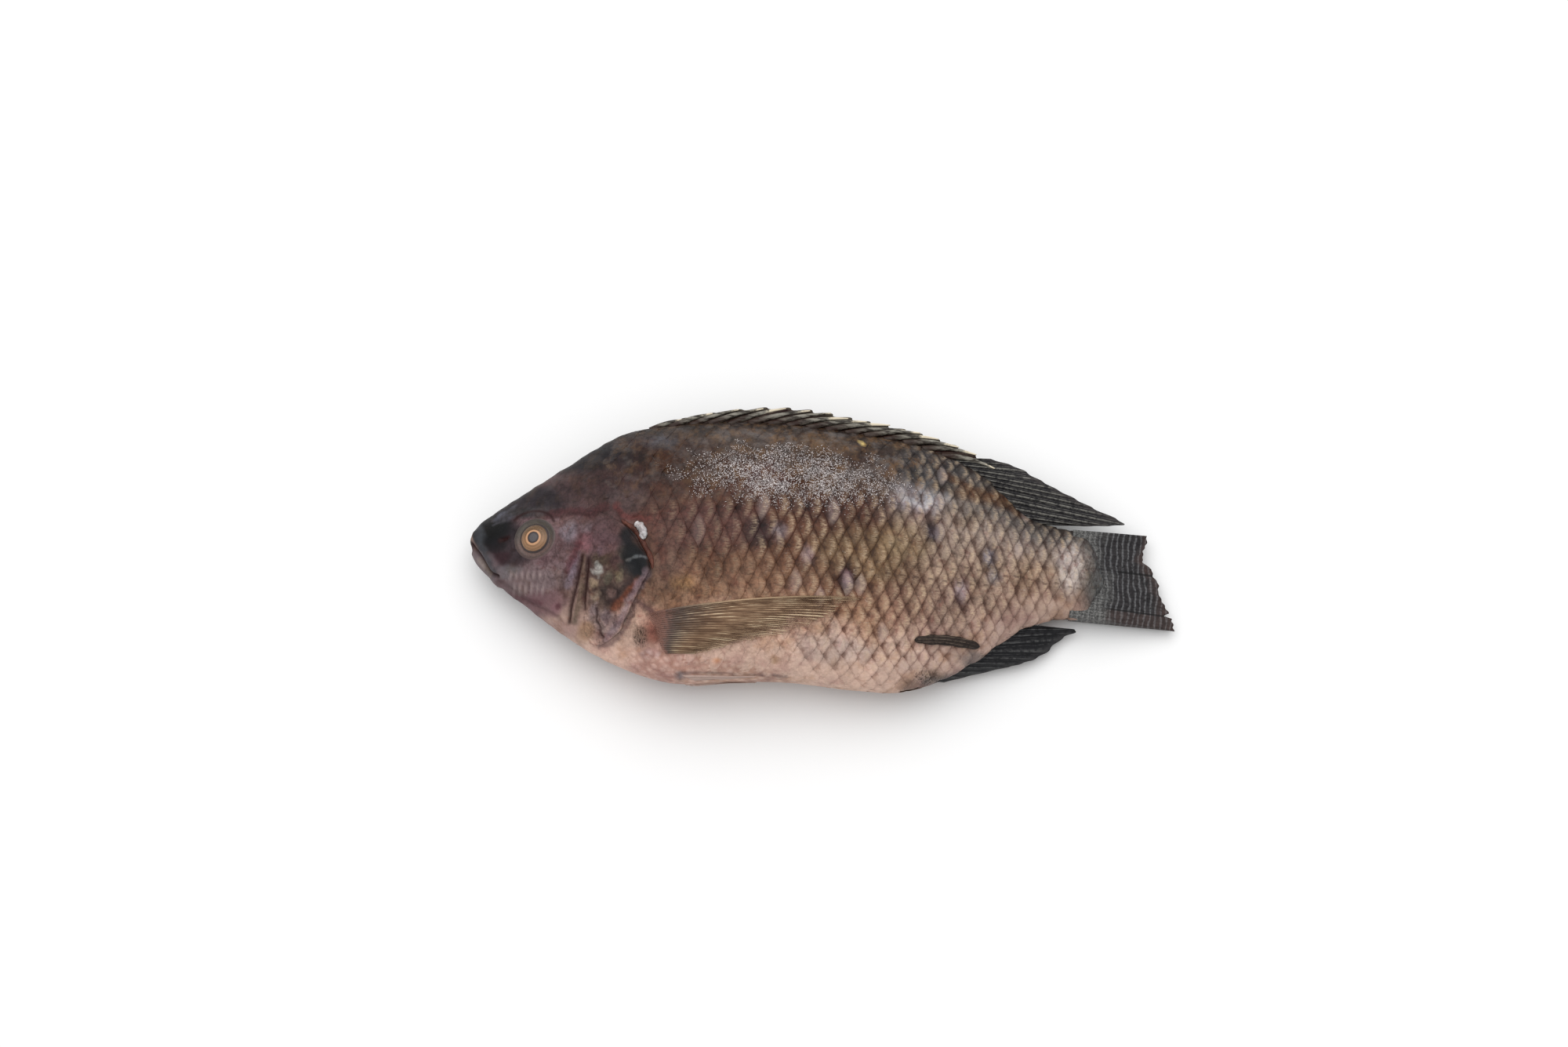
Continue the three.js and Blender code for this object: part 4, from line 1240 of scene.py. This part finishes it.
def tail_finish():
    """Thin wavy pale bands across dark rays, grained grey at the root, red-brown low down and at the torn
    end, with two dark splits along the rays. The bands are a sine of the place along the fish."""
    recipe = Recipe("tail fin")
    rays, along, far = recipe.read("ray"), recipe.read("along"), recipe.read("far")
    flecks = recipe.noise(1.4, 4.0, 0.7)
    patches = recipe.noise(7.0, 3.0)
    grains = recipe.noise(0.8, 4.0, 0.75)
    wavy = far * (2 * math.pi / TAIL_BAND) + (patches - 0.5) * 9.0 + (rays * 0.42).sine() * 1.4
    bands = wavy.sine().rise(0.1, 0.95) * flecks.rise(0.3, 0.52)
    ray_lines = (rays * (4 * math.pi)).sine().rise(0.3, 1.0) * flecks.rise(0.3, 0.6)
    red = (along + (patches - 0.5) * 0.3).rise(0.84, 1.0).top(rays.rise(13.0, 13.4) * 0.7) * flecks
    upper_split = abs(rays - 6.65).rise(0.3, 0.05) * along.rise(0.5, 0.6)
    lower_split = abs(rays - 13.05).rise(0.26, 0.05)
    grey = recipe.layers(
        (60, 60, 60),
        (grains.rise(0.38, 0.64), (116, 115, 113)),
        (bands * 0.4, (140, 140, 138)),
        (ray_lines * 0.5, (46, 46, 46)),
    )
    colour = recipe.layers(
        (38, 37, 38),
        (flecks.rise(0.35, 0.65), (58, 56, 57)),
        (bands * 0.5, (124, 124, 126)),
        (ray_lines * 0.4, (30, 28, 32)),
        (red * 0.7, (88, 68, 62)),
        (upper_split.top(lower_split) * 0.75, BLACK),
        ((along + (patches - 0.5) * 0.4).rise(0.52, 0.26), grey),
    )
    return recipe.finish(colour, 0.5 + flecks * 0.25, flecks + bands * 0.4, 0.25, **FIN_GLOSS)


RAY_PHASE = 0.25  # puts the bright middle of a stripe on its ray


def standing_fin(name, rays, root, rim, notch, thick, material, frayed=0.0, pleat=0.66, steps=26):
    """A pleated sheet in the fish's middle plane: straight lines from the root path to the rim path. The
    sheet is thick along each ray and thin between rays as a cosine, and between rays the rim falls short."""
    t, v = grid(np.linspace(0, 1, (rays - 1) * 10 + 1), np.linspace(0, 1, steps))
    number = t * (rays - 1)
    on_ray = 0.5 + 0.5 * np.cos(2 * np.pi * number)
    ragged = frayed * (0.5 + 0.5 * wobble(number * 4.0, number, 1.7))
    reach = v * (1 - notch * (1 - on_ray) - ragged)
    point = mix(root(t), rim(t), reach[..., None])
    ripple = 0.35 * np.sin(number * 1.3 + 2.5 * v) * v
    half = mix(thick[0], thick[1], reach) * mix(pleat, 1.0, on_ray) * mix(1.0, 0.75, v**4)
    upper, lower = point.copy(), point.copy()
    upper[..., 2] += half + ripple
    lower[..., 2] -= half - ripple
    lower[..., 2] = np.maximum(lower[..., 2], 0.15)
    upper[..., 2] = np.maximum(upper[..., 2], lower[..., 2] + 0.15)
    numbers = {"ray": number + RAY_PHASE, "along": reach, "far": point[..., 0]}
    slab(name, upper, lower, material, "fin", numbers)


def root_on(places, edge, inset):
    """The root of a fin on the back or the belly, a little inside the flesh."""

    def root(t):
        """The point at the share t of the way along."""
        x = mix(*places, t)
        return in_middle(x, edge(x) + inset)

    return root


def rim_through(points):
    """A rim as a smooth path through places given from the snout."""
    return route([(x - SNOUT_TO_ORIGIN, y, z) for x, y, z in points])


SPINY_ROOT, SOFT_ROOT, ANAL_ROOT = (66, 178), (176, 212), (176, 212)
SPINES = 16
SPINE_RADII = (1.25, 0.22)  # at the root and at the tip
spine_reach = curve([(0, 12), (0.15, 19), (1, 20)])
spine_rise = curve([(0, 2.5), (0.15, 5.6), (0.7, 5), (1, 6.4)])


def spine_tip(t):
    """Where the spine ends that starts at the share t of the root: behind it and above the back."""
    x = mix(*SPINY_ROOT, t) + spine_reach(t)
    return in_middle(x, back(x) + spine_rise(t))


def spine_finish():
    """Grey-olive streaks along the spine, red-brown towards its root and flecked, with a cream tip."""
    recipe = Recipe("spines")
    along, chance = recipe.read("along"), recipe.read("chance")
    flecks = recipe.noise(1.6, 4.0, 0.7)
    streaks = recipe.noise(1.0, 3.0, 0.6, (6.0, 1.0, 1.0))
    colour = recipe.layers(
        (56, 51, 47),
        (streaks.rise(0.38, 0.62), (140, 136, 126)),
        (along.rise(0.5, 0.12) * 0.85, (50, 34, 30)),
        (flecks.rise(0.48, 0.3) * 0.5, BLACK),
        ((along + (flecks - 0.5) * 0.4 + chance * 0.2).rise(0.72, 0.86) * 0.9, CREAM),
    )
    return recipe.finish(colour, 0.45 + flecks * 0.2, flecks, 0.2, Specular_IOR_Level=0.25)


def spines():
    """Tapered round spines that lie back along the fin, each bent a little upwards: a circle of shrinking
    radius carried along a curve from root to tip."""
    number = np.arange(SPINES)
    t = number / (SPINES - 1)
    chance = np.random.default_rng(5)
    start, end = root_on(SPINY_ROOT, back, -1.0)(t), spine_tip(t)
    end[:, 0] += chance.uniform(-1.0, 1.2, SPINES)
    end[:, 1] += chance.uniform(-0.9, -0.1, SPINES)
    share = np.linspace(0, 1, 22)[None, :]
    line = mix(start[:, None], end[:, None], share[..., None])
    line[..., 1] += 1.3 * np.sin(np.pi * share) * (0.6 + 0.4 * t[:, None])
    line[..., 2] += (0.7 + 0.5 * (number % 2))[:, None]
    along = unit(np.gradient(line, axis=1))
    aside = unit(np.cross(along, np.array([0.0, 0.0, 1.0])))
    above = np.cross(aside, along)
    turn = circle(10)[:, None]
    radius = mix(*SPINE_RADII, share**1.3) * np.ones((SPINES, 1))
    outward = np.cos(turn) * aside[:, :, None] * 1.05 + np.sin(turn) * above[:, :, None]
    ring = radius[..., None, None] * outward
    numbers = {
        "along": np.broadcast_to(share[..., None], ring.shape[:3]),
        "chance": np.broadcast_to(chance.uniform(-1, 1, (SPINES, 1, 1)), ring.shape[:3]),
    }
    tubes("dorsal_spines", line[:, :, None] + ring, spine_material, "spine", numbers)


# The rims of three fins. The tail's torn end is (height, place) and runs straight between its points.
SOFT_RIM = [
    (197.5, 43.4, 12.5), (208.4, 40.8, 12), (217.6, 36, 11.5), (228.4, 31, 11), (239.1, 26.4, 10.5),
    (250.5, 21.4, 9.5), (240, 19.9, 9.5), (226, 19.4, 10),
]
ANAL_RIM = [
    (184, -44.6, 8), (194, -41, 6.5), (206.6, -37, 5.5), (214.4, -34.6, 5), (222.3, -30.3, 4.5),
    (228.9, -23.6, 4.5), (234.4, -20.4, 4.5), (224, -20, 6),
]
TAIL_END = [
    (18.2, 259), (15.5, 259.3), (12.3, 257.9), (7.6, 257.8), (5.1, 261.6), (2.5, 262.2), (-0.4, 264.5),
    (-3.8, 264.3), (-7.4, 266.3), (-11.4, 268.8), (-12.8, 266.8), (-13.6, 270), (-18.2, 271.1),
]
TAIL_ROOT, TAIL_ROOT_HALF, TAIL_RIM_HALF = 230.0, 17.0, 18.2
TAIL_BAND = 2.15  # from one pale band of the tail to the next


def tail_root(t):
    """The tail's root: a straight upright line inside the flesh."""
    return in_middle(np.full_like(t, TAIL_ROOT), TAIL_ROOT_HALF * (1 - 2 * t))


def tail_rim(t):
    """The tail's torn end, read at even heights."""
    y = TAIL_RIM_HALF * (1 - 2 * t)
    heights, places = np.array(TAIL_END[::-1]).T
    return in_middle(np.interp(y, heights, places), y)


def lying_fin(name, rays, root, rim, arch, lift, side, material):
    """A fin spread on the flank: lines from the root path to the rim path over the skin, arched up the
    flank as a parabola, with a cosine ridge along each ray that forks and its outer edge near the skin."""
    t, v = grid(np.linspace(0, 1, (rays - 1) * 8 + 1), np.linspace(0, 1, 44))
    number = t * (rays - 1)
    on_ray = 0.5 + 0.5 * np.cos(2 * np.pi * number)
    forked = 0.5 + 0.5 * np.cos(4 * np.pi * number)
    split = smooth(v, 0.4, 0.8)
    frayed = 1 - 0.05 * v * (0.5 + 0.5 * wobble(number * 3.1, number, 1.3))
    place = mix(route(root)(t), route(rim)(t), (v * frayed)[..., None])
    x = place[..., 0]
    y = place[..., 1] + arch * (1 - t) * 4 * v * (1 - v)
    edge = smooth(t, 0, 0.05) * smooth(1 - t, 0, 0.06)
    out = smooth(v, 0, 0.07)
    off = mix(lift[0], lift[1], v) * mix(0.45, 1.0, edge) * out - 0.6 * (1 - out)
    upper = on_flank(x, y, side, off + 0.16 * mix(on_ray, forked, split) * mix(1, 0.6, v))
    lower = on_flank(x, y, side, off - mix(0.8, 0.3, v))
    numbers = {"ray": number + RAY_PHASE, "along": v}
    slab(name, upper, lower, material, "paired_fin", numbers)


def pectoral_fin(name, side):
    """The long pectoral fin behind the gill cover."""
    lying_fin(
        name, 24, [(66.6, -32.6), (69, -35), (71.8, -38.2), (74.8, -41.8), (77.6, -45.2)],
        [(154.6, -19.3), (146, -23), (134, -31), (122.3, -35.9), (107.9, -39.7), (97, -43), (90, -45)],
        2.0, (1.8, 0.7), side, pectoral_material,
    )


def pelvic_fin(name, side):
    """The narrow pelvic fin, flat on the belly."""
    lying_fin(
        name, 3, [(84, -52.0), (86.5, -52.5), (89, -52.8)], [(114, -50.0), (111, -50.4), (104, -50.8)],
        0.0, (0.7, 0.35), side, pelvic_material,
    )


SCRAP_HALF_WIDTH = 1.75


def stray_scrap():
    """A torn splinter of dark fin stuck to the flank: a flattened tube along a path, whose half width
    narrows to its ends as the root of 1 - share to a power."""
    t = np.linspace(0, 1, 40)
    line = route([(171, -33.2), (183, -31.8), (196, -32)])(t)
    turn = circle(14)
    swell = SCRAP_HALF_WIDTH * np.sqrt(np.clip(1 - np.abs(2 * t - 1) ** 3.5, 0, 1)) + 0.05
    x = np.broadcast_to(line[:, 0, None], (len(t), len(turn)))
    y = line[:, 1, None] + swell[:, None] * np.cos(turn) * (1 + 0.15 * wobble(t * 40, t, 3)[:, None])
    off = 0.75 + 0.62 * swell[:, None] * np.sin(turn)
    rings = on_flank(x, y, LEFT, off)
    numbers = {"ray": (y - line[:, 1, None]) * 0.9, "along": t[:, None] * np.ones_like(x)}
    tubes("stray_scrap", rings[None], scrap_material, "fin", numbers)


# ---- Painted glints ----

GLINT_SLIVERS = 5400
GLINT_REST = 0.2  # how far off the skin a sliver's middle lies


def glint_finish():
    """Grained white, for the painted glints."""
    recipe = Recipe("frost")
    grain = recipe.noise(0.8, 2.0)
    colour = recipe.blend(grain, (214, 202, 200), (252, 248, 248))
    return recipe.finish(colour, 0.3 + grain * 0.2, Specular_IOR_Level=0.5)


def frost():
    """White slivers strewn over the back as painted glints of the wet skin: each an octahedron stretched one
    way and turned by chance. More are strewn than are kept, and each is kept by chance as often as the
    glints are thick there."""
    chance = np.random.default_rng(11)
    strewn = 6 * GLINT_SLIVERS
    x = GLINT_PLACE[0] + chance.uniform(-1, 1, strewn) * GLINT_REACH[0]
    y = GLINT_PLACE[1] + chance.uniform(-1, 1, strewn) * GLINT_REACH[1]
    thick = glint_cover(x, y) * (0.7 + 0.3 * wobble(x, y, 2.6)) * (0.6 + 0.4 * wobble(x, y, 7))
    kept = np.flatnonzero(chance.uniform(0, 1, strewn) < thick)[:GLINT_SLIVERS]
    x, y = x[kept], y[kept]
    turn = chance.uniform(0, np.pi, len(x))
    length, width = chance.uniform(0.12, 0.42, len(x)), chance.uniform(0.05, 0.09, len(x))
    corners = np.arange(4)
    reach = np.where(corners % 2 == 0, length[:, None], width[:, None])
    corner_x = x[:, None] + reach * np.cos(turn[:, None] + corners * QUARTER)
    corner_y = y[:, None] + reach * np.sin(turn[:, None] + corners * QUARTER)
    ring = on_flank(corner_x, corner_y, LEFT, GLINT_REST)
    top = on_flank(x, y, LEFT, GLINT_REST + width)[:, None]
    foot = on_flank(x, y, LEFT, GLINT_REST - width * 1.6)[:, None]
    points = np.concatenate([ring, top, foot], axis=1)
    after = (corners + 1) % 4
    upper = np.stack([corners, after, np.full(4, 4)], axis=-1)
    lower = np.stack([after, corners, np.full(4, 5)], axis=-1)
    faces = np.concatenate([upper, lower])[None] + 6 * np.arange(len(x))[:, None, None]
    piece("frost", points, [faces.reshape(-1, 3)], glint_material, "frost", flat=[0])


eye_material = eye_finish()
spine_material = spine_finish()
glint_material = glint_finish()
tail_material = tail_finish()
pectoral_material = pectoral_finish()
spiny_web_material = fin_finish("spiny fin web", (44, 31, 27), (74, 62, 54), (92, 86, 76), 0.35)
soft_fin_material = fin_finish("soft fins", (42, 41, 43), (120, 118, 112), (66, 62, 62), 0.32, 0.8)
anal_fin_material = fin_finish("anal fin", (36, 36, 38), (92, 92, 92), (58, 57, 58), 0.32, 0.55)
pelvic_material = fin_finish("belly fins", (176, 152, 142), (196, 174, 164), (190, 162, 150), 0.4, 0.3, 0.06)
scrap_material = fin_finish("stray scrap", (50, 43, 40), (104, 92, 82), (48, 42, 40), 0.3, 0.7)

for side_name, side in (("left", LEFT), ("right", RIGHT)):
    gill_cover("gill_cover_" + side_name, side)
    eye("eye_" + side_name, side)
    pectoral_fin("pectoral_fin_" + side_name, side)
    pelvic_fin("pelvic_fin_" + side_name, side)
# The gill edge: the red of the gills, darkened as painted shade in the gill opening under the cover.
ribbon(
    "gill_edge", [(58.6, 3.4), (61.6, 1.2), (64.8, -1.2), (67.8, -6.0), (70.8, -11.2), (71.8, -15.4)],
    1.05, (0.0, 0.6), (94, 62, 54),
)
ribbon("gill_flap", [(64.2, 2.2), (66.9, -0.4), (67.8, -4.4)], 1.5, (0.8, 1.5), (196, 194, 194))
standing_fin(
    "spiny_fin_web", SPINES, root_on(SPINY_ROOT, back, -2.5), spine_tip, 0.1, (1.1, 0.35),
    spiny_web_material,
)
spines()
standing_fin(
    "soft_dorsal_fin", 12, root_on(SOFT_ROOT, back, -2.5), rim_through(SOFT_RIM), 0.03, (1.3, 0.4),
    soft_fin_material, 0.02,
)
standing_fin(
    "anal_fin", 11, root_on(ANAL_ROOT, belly, 2.5), rim_through(ANAL_RIM), 0.04, (1.3, 0.4),
    anal_fin_material, 0.03,
)
standing_fin("tail_fin", 16, tail_root, tail_rim, 0.012, (4.2, 0.6), tail_material, 0.006, 0.9, 60)
stray_scrap()
frost()

# ---- Floor, light and camera ----


FLOOR_SIZE = 6.0  # these sizes and places are in metres
LAMP_PLACE, LAMP_WIDTH, LAMP_WATTS = (-0.3, 1.0, 2.6), 4.0, 70.0
SKY_STRENGTH = 0.76
CAMERA_PLACE, CAMERA_TARGET = (0.029762, -0.353643, 1.383142), (0.007350, 0.012801, 0.013)


def stage():
    """A wide pale floor under the fish."""
    bpy.ops.mesh.primitive_plane_add(size=FLOOR_SIZE)
    floor = bpy.context.object
    floor.name = "floor"
    recipe = Recipe("pale floor")
    colour = recipe.blend(recipe.noise(60.0, 2.0) * 0.3, (243, 243, 243), (240, 240, 240))
    floor.data.materials.append(recipe.finish(colour, 0.9, Specular_IOR_Level=0.2))


def add_aimed(name, data, place, target):
    """Adds a lamp or camera at a place, looking at the target, with its top towards +Y or up."""
    holder = bpy.data.objects.new(name, data)
    bpy.context.scene.collection.objects.link(holder)
    holder.location = place
    holder.rotation_euler = (Vector(target) - Vector(place)).to_track_quat("-Z", "Y").to_euler()
    return holder


def light_and_camera():
    """An even white sky, one wide soft lamp from behind, and a long lens that looks down on the flank."""
    scene = bpy.context.scene
    world = bpy.data.worlds.new("studio")
    world.use_nodes = True
    sky = world.node_tree.nodes["Background"]
    sky.inputs["Color"].default_value = (1.0, 1.0, 1.0, 1.0)
    sky.inputs["Strength"].default_value = SKY_STRENGTH
    scene.world = world
    lamp = bpy.data.lights.new("rear_light", "AREA")
    lamp.shape = "DISK"
    lamp.size = LAMP_WIDTH
    lamp.energy = LAMP_WATTS
    add_aimed("rear_light", lamp, LAMP_PLACE, (0.0, 0.0, 0.0))
    lens = bpy.data.cameras.new("camera")
    lens.lens = 85.0
    lens.sensor_width = 36.0
    lens.clip_start = 0.01
    lens.clip_end = 20.0
    scene.camera = add_aimed("camera", lens, CAMERA_PLACE, CAMERA_TARGET)
    scene.view_settings.view_transform = "Standard"


stage()
light_and_camera()
